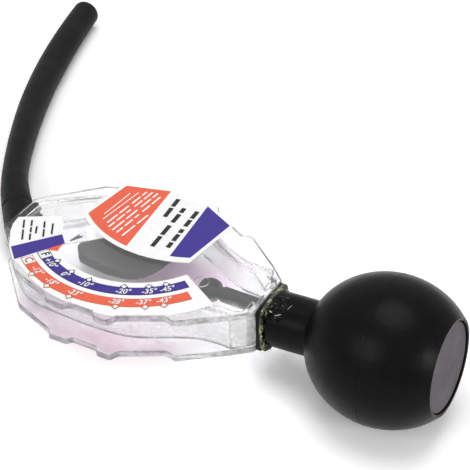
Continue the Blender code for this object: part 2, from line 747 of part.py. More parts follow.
def make_bulb(parent, surface):
    shoulder = NECK_RADIUS + NECK_FILLET
    shoulder_x = -ellipse_half(BULB_RADIUS, BULB_HALF_LENGTH, shoulder)
    neck_end = BULB_REACH + shoulder_x - NECK_FILLET
    first = atan2(shoulder / BULB_RADIUS, shoulder_x / BULB_HALF_LENGTH)
    tail_x = ellipse_half(BULB_RADIUS, BULB_HALF_LENGTH, TAIL_RIM_RADIUS)
    last = atan2(TAIL_RIM_RADIUS / BULB_RADIUS, tail_x / BULB_HALF_LENGTH)

    profile = [(neck_start(), NECK_RADIUS), (neck_end, NECK_RADIUS)]
    middle = NECK_FILLET * (1.0 - cos(pi / 4))
    profile.append((neck_end + NECK_FILLET * sin(pi / 4), NECK_RADIUS + middle))
    for step in range(BULB_STEPS + 1):
        angle = first + (last - first) * step / BULB_STEPS
        profile.append((BULB_REACH + BULB_HALF_LENGTH * cos(angle), BULB_RADIUS * sin(angle)))
    seat_radius = DISC_RADIUS + SEAT_GAP
    profile.append((BULB_REACH + tail_x, seat_radius))

    inner_radius = BULB_RADIUS - BULB_WALL
    inner_half = BULB_HALF_LENGTH - BULB_WALL
    bore = BULB_SPIGOT_RADIUS + SEAT_GAP
    inner_first = atan2(seat_radius / inner_radius, ellipse_half(inner_radius, inner_half, seat_radius) / inner_half)
    inner_last = atan2(bore / inner_radius, -ellipse_half(inner_radius, inner_half, bore) / inner_half)
    steps = BULB_STEPS // 3
    for step in range(steps + 1):
        angle = inner_first + (inner_last - inner_first) * step / steps
        profile.append((BULB_REACH + inner_half * cos(angle), inner_radius * sin(angle)))
    profile.append((neck_start(), bore))
    item = add_solid("bulb", turned_ring(profile, BULB_SIDES), surface, parent)
    smooth_item(item)
    return item


def make_bulb_end_disc(parent, surface):
    tail_x = ellipse_half(BULB_RADIUS, BULB_HALF_LENGTH, TAIL_RIM_RADIUS)
    high = BULB_REACH + tail_x - DISC_RECESS
    low = high - DISC_THICKNESS
    disc = cone_between((low, 0, 0), (high, 0, 0), DISC_RADIUS, DISC_RADIUS, BULB_SIDES)
    item = add_solid("bulb_end_disc", disc, surface, parent)
    smooth_item(item)
    return item


def across_x(block, start):
    """Turn a block drawn in (y, z) with its thickness along Z into one that stands across X."""
    turn = Matrix(((0, 0, 1, start), (1, 0, 0, 0), (0, 1, 0, 0), (0, 0, 0, 1)))
    bmesh.ops.transform(block, matrix=turn, verts=block.verts)
    return block


def nose_swell(share):
    """Height of the plug's nose along its length, as a share: a knob with rounded ends."""
    return sqrt(max(0.0, 1.0 - abs(2.0 * share - 1.0) ** NOSE_FULLNESS))


def nose_mesh(tip_x):
    nose = bmesh.new()
    rings = []
    for step in range(NOSE_STEPS + 1):
        share = NOSE_END_SHARE + (1.0 - 2 * NOSE_END_SHARE) * step / NOSE_STEPS
        swell = nose_swell(share)
        ring = []
        for side in range(FINE_SIDES):
            angle = 2 * pi * side / FINE_SIDES
            ring.append(nose.verts.new((
                tip_x + NOSE_LENGTH * share,
                NOSE_HALF_WIDTH * swell * cos(angle),
                STEM_HEIGHT + NOSE_HALF_HEIGHT * swell * sin(angle),
            )))
        rings.append(ring)
    for here, there in zip(rings, rings[1:]):
        for side in range(FINE_SIDES):
            after = (side + 1) % FINE_SIDES
            nose.faces.new((here[side], here[after], there[after], there[side]))
    nose.faces.new(rings[0])
    nose.faces.new(rings[-1])
    bmesh.ops.recalc_face_normals(nose, faces=nose.faces)
    return nose


def make_bulb_plug(parent, surface):
    start = BODY_LENGTH + SEAT_GAP
    half = BULB_END_WIDTH / 2 - FLANGE_EDGE_INSET
    plate = prism(
        [(-half, FLANGE_EDGE_INSET), (half, FLANGE_EDGE_INSET),
         (half, BODY_DEPTH - FLANGE_EDGE_INSET), (-half, BODY_DEPTH - FLANGE_EDGE_INSET)],
        0.0, FLANGE_THICKNESS,
    )
    round_upright_edges(plate, FLANGE_CORNER_RADIUS, 3)
    item = add_solid("bulb_plug", across_x(plate, start), surface, parent)

    stem_end = start - STEM_LENGTH
    inside_flange = start + FLANGE_THICKNESS / 2
    stem = cone_between((stem_end, 0, STEM_HEIGHT), (inside_flange, 0, STEM_HEIGHT), STEM_RADIUS, STEM_RADIUS)
    combine(item, add_solid("stem_tool", stem, surface, parent), "UNION")
    waist = cone_between(
        (stem_end - WAIST_LENGTH, 0, STEM_HEIGHT), (stem_end + WAIST_LENGTH, 0, STEM_HEIGHT),
        WAIST_RADIUS, WAIST_RADIUS,
    )
    combine(item, add_solid("waist_tool", waist, surface, parent), "UNION")
    tip_x = stem_end - WAIST_LENGTH / 2 - NOSE_LENGTH
    combine(item, add_solid("nose_tool", nose_mesh(tip_x), surface, parent), "UNION")

    axis = bulb_axis()
    spigot_end = SEAT_GAP + FLANGE_THICKNESS + BULB_SPIGOT_LENGTH
    spigot = cone_between(
        axis @ Vector((SEAT_GAP + FLANGE_THICKNESS / 2, 0, 0)), axis @ Vector((spigot_end, 0, 0)),
        BULB_SPIGOT_RADIUS, BULB_SPIGOT_RADIUS,
    )
    combine(item, add_solid("bulb_spigot_tool", spigot, surface, parent), "UNION")
    cross_x = tip_x + NOSE_LENGTH * (1.0 - CROSS_BORE_SHARE)
    bore = cone_between(
        (cross_x, 0, STEM_HEIGHT), (BODY_LENGTH + spigot_end + OVERRUN, 0, STEM_HEIGHT),
        PLUG_BORE_RADIUS, PLUG_BORE_RADIUS, 16,
    )
    combine(item, add_solid("plug_bore_tool", bore, None, parent), "DIFFERENCE")
    cross = cone_between(
        (cross_x, 0, STEM_HEIGHT), (cross_x, 0, BODY_DEPTH), PLUG_BORE_RADIUS, PLUG_BORE_RADIUS, 16,
    )
    combine(item, add_solid("plug_cross_bore_tool", cross, None, parent), "DIFFERENCE")
    return item


def make_glue_bead(parent, surface):
    """Set glue round the spigot: a rounded square on the flange, wedged out to the leaning neck."""
    start = BODY_LENGTH + SEAT_GAP + FLANGE_THICKNESS + SEAT_GAP
    axis = bulb_axis()
    middle = axis.translation
    low = middle.z - GLUE_HALF_HEIGHT
    high = middle.z + GLUE_HALF_HEIGHT
    left = middle.y - GLUE_HALF_WIDTH
    right = middle.y + GLUE_HALF_WIDTH
    block = prism([(left, low), (right, low), (right, high), (left, high)], 0.0, 2 * GLUE_THICKNESS)
    round_upright_edges(block, GLUE_CORNER_RADIUS, 5)
    item = add_solid("glue_bead", across_x(block, start), surface, parent)

    neck_side = prism(
        [(-BULB_RADIUS, -BULB_RADIUS), (BULB_RADIUS, -BULB_RADIUS), (BULB_RADIUS, BULB_RADIUS),
         (-BULB_RADIUS, BULB_RADIUS)],
        0.0, BULB_REACH,
    )
    across_x(neck_side, neck_start() - SEAT_GAP)
    bmesh.ops.transform(neck_side, matrix=axis, verts=neck_side.verts)
    combine(item, add_solid("glue_trim_tool", neck_side, None, parent), "DIFFERENCE")
    reach = BULB_SPIGOT_RADIUS + SEAT_GAP
    hole = cone_between(axis.translation, axis @ Vector((BULB_REACH, 0, 0)), reach, reach)
    combine(item, add_solid("glue_hole_tool", hole, None, parent), "DIFFERENCE")
    return item


def trim_to_plate(item, parent, name):
    low = BODY_DEPTH - OVERRUN
    allowed = prism(mirrored(body_half_outline(LABEL_EDGE_INSET)), low, BODY_DEPTH + 2 * OVERRUN)
    combine(item, add_solid(name, allowed, None, parent), "INTERSECT")


def make_scale_label(parent, surface):
    pivot = (PIVOT_X, PIVOT_Y)
    key = [(x * BODY_LENGTH, y * BODY_WIDTH / 2) for x, y in KEY_OUTLINE_SHARES]
    key_angle = atan2(key[0][1] - PIVOT_Y, key[0][0] - PIVOT_X)
    outline = arc_points(SCALE_OUTER_RADIUS, SCALE_START_ANGLE, SCALE_END_ANGLE, pivot)
    outline += arc_points(SCALE_INNER_RADIUS, SCALE_END_ANGLE, key_angle, pivot)[:-1]
    outline += key
    low = BODY_DEPTH + LABEL_GAP
    item = add_solid("scale_label", prism(outline, low, low + LABEL_THICKNESS), surface, parent)
    trim_to_plate(item, parent, "scale_trim_tool")
    return item


def make_title_label(parent, surface):
    centre = (TITLE_ARC_CENTRE_X, TITLE_ARC_CENTRE_Y)
    start = atan2(TITLE_LEFT_Y - centre[1], TITLE_LEFT_X - centre[0])
    end = atan2(TITLE_RIGHT_Y - centre[1], TITLE_RIGHT_X - centre[0])
    outline = arc_points(TITLE_ARC_RADIUS, start, end, centre)
    outline += [(TITLE_RIGHT_TOP_X, BODY_WIDTH / 2), (TITLE_LEFT_TOP_X, BODY_WIDTH / 2)]
    low = BODY_DEPTH + LABEL_GAP
    item = add_solid("title_label", prism(outline, low, low + LABEL_THICKNESS), surface, parent)
    trim_to_plate(item, parent, "title_trim_tool")
    return item


def resting_pose():
    """Tip the tester about its lower hose-end edge until the leaning bulb touches the surface."""
    centre = bulb_axis() @ Vector((BULB_REACH, 0, 0))
    tilt = 0.0
    for attempt in range(4):
        lean = tilt + BULB_LEAN_UP
        drop = hypot(BULB_HALF_LENGTH * sin(lean), BULB_RADIUS * cos(lean))
        reach = hypot(centre.x, centre.z)
        tilt = asin(drop / reach) - asin(centre.z / reach)
    return Matrix.Rotation(-tilt, 4, "Y")


def world_points(item, graph):
    seen = item.evaluated_get(graph)
    mesh = seen.to_mesh()
    points = [item.matrix_world @ vertex.co for vertex in mesh.vertices]
    seen.to_mesh_clear()
    return points


def centre_over_origin(pose_empty, pieces):
    """Slide the tester along X, and lift it, so that its box stands on the origin's plane."""
    bpy.context.view_layer.update()
    graph = bpy.context.evaluated_depsgraph_get()
    points = [point for piece in pieces for point in world_points(piece, graph)]
    low_x = min(point.x for point in points)
    high_x = max(point.x for point in points)
    low_y = min(point.y for point in points)
    high_y = max(point.y for point in points)
    low_z = min(point.z for point in points)
    shift = Vector((-(low_x + high_x) / 2, -(low_y + high_y) / 2, -low_z))
    pose_empty.matrix_world = Matrix.Translation(shift) @ pose_empty.matrix_world
    bpy.context.view_layer.update()
    return pose_empty.matrix_world.copy()


def build():
    clear_scene()
    clear_plastic = make_material("clear_plastic", (0.93, 0.95, 0.96), 0.05, transmission=1.0)
    black_rubber = make_material("black_rubber", (0.020, 0.020, 0.022), 0.45)
    dull_rubber = make_material("dull_rubber", (0.095, 0.090, 0.098), 0.70)
    float_plastic = make_material("float_plastic", (0.085, 0.085, 0.090), 0.40)
    tip_plastic = make_material("tip_plastic", (0.020, 0.020, 0.020), 0.40)
    pin_steel = make_material("pin_steel", (0.60, 0.60, 0.58), 0.25, metallic=1.0)
    weight_brass = make_material("weight_brass", (0.70, 0.52, 0.25), 0.30, metallic=1.0)
    label_film = make_material("label_film", (0.92, 0.92, 0.90), 0.35)
    set_glue = make_material("set_glue", (0.50, 0.50, 0.12), 0.20)

    pose_empty = bpy.data.objects.new("tester_pose", None)
    bpy.context.scene.collection.objects.link(pose_empty)
    pose_empty.matrix_world = resting_pose()
    bpy.context.view_layer.update()

    bulb_empty = bpy.data.objects.new("bulb_pose", None)
    bpy.context.scene.collection.objects.link(bulb_empty)
    bulb_empty.parent = pose_empty
    bulb_empty.matrix_basis = bulb_axis()

    float_item = make_float(pose_empty, float_plastic)
    pieces = [
        make_front_shell(pose_empty, clear_plastic),
        make_back_shell(pose_empty, clear_plastic),
        float_item,
        make_float_weight(float_item, weight_brass),
        make_pointer_arm(float_item, clear_plastic),
        make_pointer_tip(float_item, tip_plastic),
        make_pivot_pin(pose_empty, pin_steel),
        make_inlet_nozzle(pose_empty, black_rubber),
        make_bulb_plug(pose_empty, black_rubber),
        make_bulb(bulb_empty, black_rubber),
        make_bulb_end_disc(bulb_empty, dull_rubber),
        make_glue_bead(pose_empty, set_glue),
        make_scale_label(pose_empty, label_film),
        make_title_label(pose_empty, label_film),
    ]
    pose = centre_over_origin(pose_empty, pieces)
    make_hose(pose, black_rubber)

    pivot = pose @ Vector((PIVOT_X, PIVOT_Y, FLOAT_BOTTOM))
    normal = pose.to_3x3() @ Vector((0, 0, 1))
    print("float pivot", [round(value, 6) for value in pivot], "axis", [round(value, 6) for value in normal])
    back = pose @ Vector((BODY_LENGTH / 2, 0, 0))
    print("back face", [round(value, 6) for value in back])
    print("pose shift", [round(value, 6) for value in pose.translation])
    root = Vector((0.0, 0.0, NOZZLE_HEIGHT)) + nozzle_direction() * (COLLAR_REACH + SEAT_GAP)
    print("hose start", [round(value, 6) for value in pose @ root])


build()
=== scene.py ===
"""Looks of a dial antifreeze tester: clear flat chamber, swinging float, printed dial, bulb and hose."""
import json
from math import atan2, cos, hypot, pi, radians, sin, sqrt

import bmesh
import bpy
from mathutils import Matrix, Vector, noise


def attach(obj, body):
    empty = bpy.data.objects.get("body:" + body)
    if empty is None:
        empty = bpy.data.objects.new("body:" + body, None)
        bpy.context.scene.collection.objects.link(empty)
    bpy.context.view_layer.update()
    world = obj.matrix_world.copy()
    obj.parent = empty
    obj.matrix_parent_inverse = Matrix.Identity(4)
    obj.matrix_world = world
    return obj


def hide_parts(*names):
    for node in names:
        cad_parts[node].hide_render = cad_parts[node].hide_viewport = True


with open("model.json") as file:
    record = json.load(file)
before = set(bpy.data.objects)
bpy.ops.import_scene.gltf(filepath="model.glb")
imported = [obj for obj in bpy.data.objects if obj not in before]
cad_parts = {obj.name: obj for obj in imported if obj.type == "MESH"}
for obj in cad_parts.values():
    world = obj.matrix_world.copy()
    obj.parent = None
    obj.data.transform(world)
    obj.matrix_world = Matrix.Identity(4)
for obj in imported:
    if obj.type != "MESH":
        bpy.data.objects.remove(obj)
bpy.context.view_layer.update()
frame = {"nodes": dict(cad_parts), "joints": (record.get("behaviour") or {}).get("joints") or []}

# The tester's own frame has X from hose end to bulb end, Y to the title side and Z out of the dial
FLOAT_PIVOT = Vector((0.0462, 0.0132, 0.0048))
BODY_LENGTH = 0.105
BODY_DEPTH = 0.018
PLATE_THICKNESS = 0.0026
SEAT_GAP = 0.0003
MERGE_DISTANCE = 0.000002
SMOOTH_BELOW = radians(32)
BULB_SMOOTH_BELOW = radians(40)
GLUE_SMOOTH_BELOW = radians(60)
SQUARE = ((-1, -1), (1, -1), (1, 1), (-1, 1))

# Camera, in the tester's own frame
CAMERA_PLACE = Vector((0.306005, -0.358543, 0.345393))
CAMERA_RIGHT = Vector((0.86694, 0.497944, -0.021598))
CAMERA_DOWN = Vector((0.279561, -0.521688, -0.806032))
CAMERA_LENS = 117.77

# Studio: the direction to each lamp, its distance, its width and its power in watts
LAMPS = {
    "overhead_lamp": (Vector((-0.06, 0.07, 0.996)), 1.1, 0.8, 5.2),
    "front_lamp": (Vector((-0.206, -0.814, 0.543)), 1.0, 0.55, 2.6),
    "side_lamp": (Vector((0.879, -0.214, 0.427)), 1.0, 0.37, 2.75),
}
FLOOR_HALF = 3.0
FLOOR_LIT = (0.8,) * 3
FLOOR_SEEN = (1.25,) * 3
WORLD_FILL = (0.42,) * 3
WORLD_HORIZON = (0.62,) * 3
WORLD_HEIGHTS = (0.02, 0.45)
WHITE = (1.0, 1.0, 1.0)

# Clear plastic: how milky its faces are, by the way they face and where they are
CLEAR_COLOUR = (0.98, 0.98, 0.983)
HAZE_COLOUR = (0.86, 0.86, 0.865)
CLEAR_IOR = 1.56
CLEAR_SHADOW = (0.93, 0.93, 0.94)
WARM_SHADOW = (0.96, 0.87, 0.85)
FLOW_SCALE = (60.0, 160.0, 60.0)
SCUFF_SCALE = (140.0, 420.0, 420.0)
SCUFF_TURN = (0.0, 0.0, 0.35)
CREASE_SCALE = (300.0, 1100.0, 1100.0)
CREASE_TURN = (0.0, 0.0, -0.9)
MILKY_FRONT_WALL = 0.8
MILKY_FAR_WALL = 0.12
MILKY_RIM = 0.9
MILKY_BEVEL = 0.7
MILKY_UNDERSIDE = 0.4
MILKY_SEEN_FROM_INSIDE = 0.55
# How much more strongly the painted lilac light shows on rims, and how much less on the chamber walls
RIM_EXTRA_TINT = 1.0
WALL_LESS_TINT = 0.85
CLEAR_CORNER_END = 0.006
BEVEL_STEEP = (0.05, 0.9)
# Patches of painted light and shade: lilac light and shade as if cast through the labels' inks, and one grey
# patch that darkens the plastic near the bulb end: (centre, half sizes, strength, tint of the glass, tint of
# the milk)
BACK_PAINTED_LIGHT = (
    ((0.064, 0.009, 0.002), (0.026, 0.018, 0.014), 1.3, (0.985, 0.66, 0.94), (0.80, 0.70, 0.79)),
    ((0.066, -0.029, 0.003), (0.024, 0.013, 0.016), 2.6, (0.73, 0.60, 0.71), (0.60, 0.565, 0.62)),
    ((0.036, -0.028, 0.003), (0.027, 0.015, 0.018), 2.2, (0.74, 0.66, 0.74), (0.62, 0.59, 0.64)),
    ((0.090, -0.019, 0.002), (0.018, 0.014, 0.010), 1.5, (0.86, 0.86, 0.865), (0.80, 0.80, 0.805)),
)
# Painted lilac light on the front plate's near side, as if cast through the labels' inks, in the same columns
FRONT_PAINTED_LIGHT = (
    ((0.056, -0.034, 0.017), (0.040, 0.012, 0.010), 1.6, (0.86, 0.78, 0.87), (0.74, 0.68, 0.76)),
)
# How hazy the flats and the walls are, least and most
FRONT_HAZE = ((0.0, 0.02), (0.40, 0.95))
BACK_HAZE = ((0.0, 0.07), (0.50, 0.95))
# Centre and half sizes: where light passes a little warm, and the creased film over the bulb's plug
WARM_PATCH = ((0.060, -0.035, 0.008), (0.045, 0.016, 0.020))
CRUMPLED_PATCH = ((0.0985, -0.0145, 0.0178), (0.0165, 0.0068, 0.0060))

# Rubber: dark and light colour, least and most roughness, and shine
RUBBERS = {
    "hose": ((0.006, 0.006, 0.0062), (0.011, 0.011, 0.0115), (0.46, 0.58), 0.09),
    "bulb": ((0.0016, 0.0016, 0.0018), (0.0036, 0.0036, 0.0039), (0.27, 0.35), 0.072),
    "collar": ((0.004, 0.004, 0.0043), (0.008, 0.008, 0.0084), (0.4, 0.52), 0.07),
    "disc": ((0.078, 0.068, 0.076), (0.114, 0.102, 0.112), (0.6, 0.75), 0.2),
    "plug": ((0.001, 0.001, 0.001), (0.014, 0.014, 0.014), (0.3, 0.6), 0.1),
    "root": ((0.001, 0.001, 0.001), (0.003, 0.003, 0.003), (0.4, 0.6), 0.03),
}
DUST_COLOUR = (0.05, 0.05, 0.052)
# Float plastic: dark tone, lighter clouds that are partly painted reflection of the labels, and streaks
FLOAT_DARK = (0.037, 0.037, 0.039)
FLOAT_TONE_AND_REFLECTION = (0.065, 0.062, 0.066)
FLOAT_STREAK = (0.048, 0.047, 0.051)
# Set glue colours: clear, pale (partly cloudy glue and partly painted glints), darker patches, and stain
GLUE_CLEAR = (0.16, 0.19, 0.03)
GLUE_CLOUDY_AND_GLINT = (0.85, 0.88, 0.55)
GLUE_DARK_PATCH = (0.008, 0.007, 0.003)
GLUE_STAINED = (0.03, 0.006, 0.004)
# Pale colour of the painted glint threads
GLINT_PALE = (0.42, 0.44, 0.37)
# The smear's black, and the paler flecks of painted glint on it
SMEAR_BLACK_AND_GLINT = ((0.001, 0.001, 0.001), (0.12, 0.12, 0.10))
PIN_STEEL = (0.60, 0.60, 0.58)
WEIGHT_BRASS = (0.70, 0.52, 0.25)
INKS = {
    "white": (1.0, 1.0, 0.995),
    "blue": (0.062, 0.045, 0.30),
    "orange": (0.86, 0.150, 0.085),
    "white_ink": (0.93, 0.93, 0.92),
    "dark_ink": (0.03, 0.03, 0.035),
    "navy": (0.035, 0.028, 0.10),
    "brown": (0.55, 0.19, 0.12),
}

# Hose, from the nozzle collar's outlet in world axes
HOSE_DIAMETER = 0.0118
HOSE_WALL = 0.0024
HOSE_ROUTE = (
    (0.0, 0.0, 0.0), (-0.0034, 0.0037, -0.0002), (-0.0073, 0.0081, -0.0007),
    (-0.0119, 0.014, -0.0013), (-0.0162, 0.0204, -0.00175), (-0.0205, 0.0277, -0.002),
    (-0.0248, 0.0356, -0.00205), (-0.029, 0.0438, -0.00205), (-0.0331, 0.0522, -0.00205),
    (-0.0371, 0.0608, -0.00205), (-0.0408, 0.0696, -0.00205), (-0.0444, 0.0786, -0.00205),
    (-0.0478, 0.088, -0.00205), (-0.051, 0.0974, -0.00205), (-0.054, 0.107, -0.00205),
    (-0.0568, 0.1168, -0.00205), (-0.0594, 0.1267, -0.00205), (-0.0617, 0.1363, -0.00205),
)
# The soft tube's width along it, where it is pinched by the bend and then lies a little flat
HOSE_WIDTHS = (
    0.0122, 0.0114, 0.0106, 0.0103, 0.0105, 0.0109, 0.0112, 0.0116, 0.0119,
    0.0121, 0.0123, 0.0126, 0.0126, 0.0125, 0.0123, 0.012, 0.0117,
)
HOSE_DOWN_SHARE = 0.3
HOSE_LIFT = 0.00006
HOSE_RINGS = 90
HOSE_SIDES = 48

# Nozzle
NOZZLE_HEIGHT = 0.009
NOZZLE_ANGLE = radians(48)
COLLAR_REACH = 0.014
# Its wide root: ends along X, middle across and up, half width, half height, squareness
COLLAR_ROOTS = {
    "collar_root": ((0.0007, 0.0024), (0.0001, 0.0101), 0.009, 0.0071, 7.0),
    "collar_root_rim": ((0.0027, 0.004), (0.0006, 0.0086), 0.0082, 0.0047, 3.0),
}
ROOT_EDGE = 0.0003
ROOT_SIDES = 72

# Bulb, along its own axis from the seat on the body's end
BULB_SEAT_SIDE = -0.0008
BULB_SEAT_HEIGHT = 0.00985
BULB_LEAN_UP = radians(2.2)
BULB_LEAN_SIDE = radians(1.5)
BULB_REACH = 0.0453
BULB_HALF_LENGTH = 0.0287
BULB_RADIUS = 0.0262
BULB_OUTLINE = (BULB_RADIUS, BULB_HALF_LENGTH)
BULB_WALL = 0.0024
BULB_SIDES = 144
BULB_STEPS = 80
BULB_INNER_STEPS = 12
NECK_START = 0.0039
NECK_RADIUS = 0.0099
NECK_EDGE = 0.0003
NECK_STEPS = 6
NECK_FILLET = 0.0007
NECK_FILLET_STEPS = 5
TAIL_RIM_RADIUS = 0.017
TAIL_LIP = ((-0.0001, 0.0002), (-0.0003, 0.0))
TAIL_RIM_EDGE = 0.0004
DISC_RADIUS = 0.0157
DISC_THICKNESS = 0.002
DISC_RECESS = 0.0006
DISC_EDGE = 0.0003
DISC_SIDES = 96
BULB_SPIGOT_RADIUS = 0.0062
SEAM_HALF_WIDTH = 0.00035
SEAM_DEPTH = 0.00016
SEAM_SHAPE = ((-1.4, 0.0), (-1.0, 1.0), (1.0, 1.0), (1.4, 0.0))

# Glue squeezed out round the neck
GLUE_START = 0.002
GLUE_END = 0.0043
GLUE_ON_NECK = 0.00025
GLUE_THIN = 0.6
GLUE_STAIN = (0.0046, radians(143), 0.0022)
GLUE_HALF_WIDTH = 0.0104
GLUE_HALF_HEIGHT = 0.0096
GLUE_CORNER_RADIUS = 0.004
GLUE_SUNK = 0.001
GLUE_PROUD = 0.0011
GLUE_WAVE = 0.0006
GLUE_INNER_GAP = 0.0006
# Lumps: their size, and how fast they come round the ring and across it
GLUE_LUMPS = ((0.25, 4, 0.35), (0.12, 14, 0.8))
GLUE_AROUND = 120
GLUE_ACROSS = 14
SMEAR_ALONG = (0.0038, 0.0092)
SMEAR_AROUND = (radians(86), radians(146))
SMEAR_EDGE = 0.0022
SMEAR_THICKNESS = 0.0006
SMEAR_STEPS = (26, 40)
# Painted glints, as pale threads on the neck and the ring of glue: (along, angle in degrees) of both ends,
# and the half width
PAINTED_GLINT_THREADS = (
    ((0.0062, 137), (0.0091, 129), 0.00021), ((0.0076, 118), (0.0083, 110), 0.0002),
    ((0.0104, 118), (0.0114, 104), 0.00011), ((0.0043, 128), (0.0057, 131), 0.00024),
    ((0.0028, 119), (0.0032, 104), 0.00034), ((0.0033, 141), (0.004, 133), 0.0003),
    ((0.003, 186), (0.0033, 181), 0.0003),
)
THREAD_STEPS = 10
THREAD_SIDES = 8
THREAD_FLATNESS = 0.6
THREAD_TIP = 0.08
THREAD_SMOOTH_BELOW = radians(80)
THREAD_UNEVEN = 0.35

# Labels on the front plate
LABEL_TOP = 0.01835
INK_GAP = 0.00002
INK_THICKNESS = 0.00003
DIAL_CENTRE = Vector((0.0462, 0.0132))
# The scale film: where its outer edge begins, and that edge's radii from one angle to the other
FILM_EDGE_FROM = 0.0465
FILM_CUTS = 12
FILM_ANGLES = (radians(-128), radians(-60))
FILM_RADII = (
    0.0487, 0.0476, 0.0479, 0.04825, 0.0486, 0.04885, 0.04915, 0.0499, 0.0509, 0.0517, 0.0521,
)
ORANGE_BAND = (0.0418, 0.0464)
BLUE_BAND = (0.0357, 0.0399)
ORANGE_BAND_ENDS = (radians(-128.0), radians(-36.5))
BLUE_BAND_ENDS = (radians(-129.0), radians(-34.2))
BAND_STEPS = 60
BAND_LINE = 0.00026
# The numbers and their angles in degrees
ORANGE_NUMBERS = (
    ("-12°", -115.4), ("-18°", -104.4), ("-23°", -90.3), ("-28°", -70.0), ("-37°", -57.8), ("-43°", -48.6),
)
BLUE_NUMBERS = (
    ("+10°", -116.8), ("0°", -103.6), ("-10°", -89.7), ("-20°", -68.3), ("-35°", -54.8), ("-45°", -45.4),
)
ORANGE_NUMBER_RADIUS = 0.044
BLUE_NUMBER_RADIUS = 0.0382
NUMBER_HEIGHT = 0.0036
NUMBER_SQUEEZE = 0.86
NUMBER_WEIGHT = 0.00009
NUMBER_SLANT = 0.18
LETTER_MERGE = 0.000001
ORANGE_MARKS = tuple(radians(angle) for angle in (-114.7, -103.5, -90.9, -69.4, -56.9, -49.0))
BLUE_MARKS = tuple(radians(angle) for angle in (-116.5, -102.8, -89.7, -68.5, -54.6, -44.9))
MARK_HALF = 0.0015
MARK_LINE = 0.00052
MARK_OUTSET = 0.0002
ORANGE_LETTER_ANGLE = radians(-124.8)
BLUE_LETTER_ANGLE = radians(-125.6)
LETTER_BOX_HALF = 0.002
LETTER_HEIGHT = 0.0042
KEY_BAR = ((0.0106, -0.0195), (0.0226, -0.0047), (0.0266, -0.0087), (0.0162, -0.025))
KEY_CORNER = ((0.0226, -0.015), (0.0262, -0.009), (0.0269, -0.0138))
# Printed rules in place of words: (start, end, width, the shares where the bars begin and end)
ONE_WORD = ((0.0, 1.0),)
TWO_WORDS = ((0.0, 0.42), (0.5, 1.0))
THREE_WORDS = ((0.0, 0.3), (0.36, 0.62), (0.68, 1.0))
FOUR_WORDS = ((0.0, 0.12), (0.16, 0.38), (0.46, 0.7), (0.74, 1.0))
FIVE_WORDS = ((0.0, 0.2), (0.24, 0.42), (0.5, 0.6), (0.64, 0.82), (0.86, 1.0))
KEY_RULES = (
    ((0.0051, -0.0039), (0.0117, -0.0142), 0.0007, TWO_WORDS),
    ((0.0078, -0.0027), (0.0142, -0.0131), 0.0007, THREE_WORDS),
    ((0.0116, -0.005), (0.0138, -0.0088), 0.0007, ONE_WORD),
    ((0.0124, -0.0012), (0.0174, -0.0092), 0.0007, TWO_WORDS),
    ((0.0158, -0.0008), (0.0192, -0.0065), 0.0007, ONE_WORD),
)
TITLE_RULES = (
    ((0.0585, 0.0305), (0.0605, 0.0065), 0.0017, FIVE_WORDS),
    ((0.0532, 0.03), (0.0552, 0.0045), 0.0017, FOUR_WORDS),
    ((0.0482, 0.034), (0.0496, 0.022), 0.0017, TWO_WORDS),
)
PANEL_RULES = (
    ((0.0302, 0.029), (0.029, 0.013), 0.0004, ONE_WORD),
    ((0.0327, 0.0306), (0.0304, 0.0101), 0.0004, ONE_WORD),
    ((0.0352, 0.0325), (0.033, 0.009), 0.0007, FOUR_WORDS),
    ((0.0373, 0.0332), (0.0349, 0.007), 0.0007, FIVE_WORDS),
    ((0.0394, 0.0336), (0.0372, 0.006), 0.0007, FOUR_WORDS),
    ((0.0415, 0.032), (0.0394, 0.0056), 0.0007, FIVE_WORDS),
    ((0.0436, 0.02), (0.0422, 0.0048), 0.0007, TWO_WORDS),
)
# Title panels: the round edge's radius, its two ends, and the corners beyond it
TITLE_ARC_CENTRE = Vector((0.0523, 0.0444))
TITLE_ARC_STEPS = 16
TITLE_ORANGE = (0.0443, (0.0234, 0.0107), (0.047, 0.0008), ((0.043, 0.0371), (0.0262, 0.0325)))
TITLE_BLUE = (0.0433, (0.0638, 0.0025), (0.0708, 0.005), ((0.0734, 0.0285), (0.0601, 0.0352)))


def lying_pose():
    """Tester frame to the row frame, read from the float's hinge."""
    hinge = frame["joints"][0]
    up = Vector(hinge["axis"]).normalized()
    along = Vector((up.z, 0.0, -up.x))
    turn = Matrix((along, (0, 1, 0), up)).transposed().to_4x4()
    return Matrix.Translation(Vector(hinge["pos_m"]) - turn @ FLOAT_PIVOT) @ turn


LYING = lying_pose()


def link(name, data):
    item = bpy.data.objects.new(name, data)
    bpy.context.scene.collection.objects.link(item)
    return item


def add_piece(name, block, finish, body="tester_body", place=LYING, node=None, angle=SMOOTH_BELOW):
    """Link a finished piece, its place in its mesh; it rides on its body and may stand for a CAD node."""
    mesh = bpy.data.meshes.new(name)
    block.to_mesh(mesh)
    block.free()
    mesh.transform(place)
    stored = mesh.attributes.get("custom_normal")
    if stored is not None:
        mesh.attributes.remove(stored)
    if angle is not None:
        mesh.shade_smooth()
        mesh.set_sharp_from_angle(angle=angle)
    mesh.materials.append(finish)
    item = link(name, mesh)
    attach(item, body)
    if node is not None:
        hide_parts(node)


# Materials

def material(name):
    """A new material: its tree, its Principled shader and its output."""
    made = bpy.data.materials.new(name)
    made.use_nodes = True
    tree = made.node_tree
    return made, tree, tree.nodes["Principled BSDF"], tree.nodes["Material Output"]


def feed(tree, node, inputs):
    """Fill a node's inputs with constants, outputs, or other nodes' first outputs."""
    for key, value in inputs.items():
        socket = node.inputs[key]
        if isinstance(value, bpy.types.Node):
            value = value.outputs[0]
        if isinstance(value, bpy.types.NodeSocket):
            tree.links.new(value, socket)
        else:
            socket.default_value = (*value, 1.0) if socket.type == "RGBA" else value


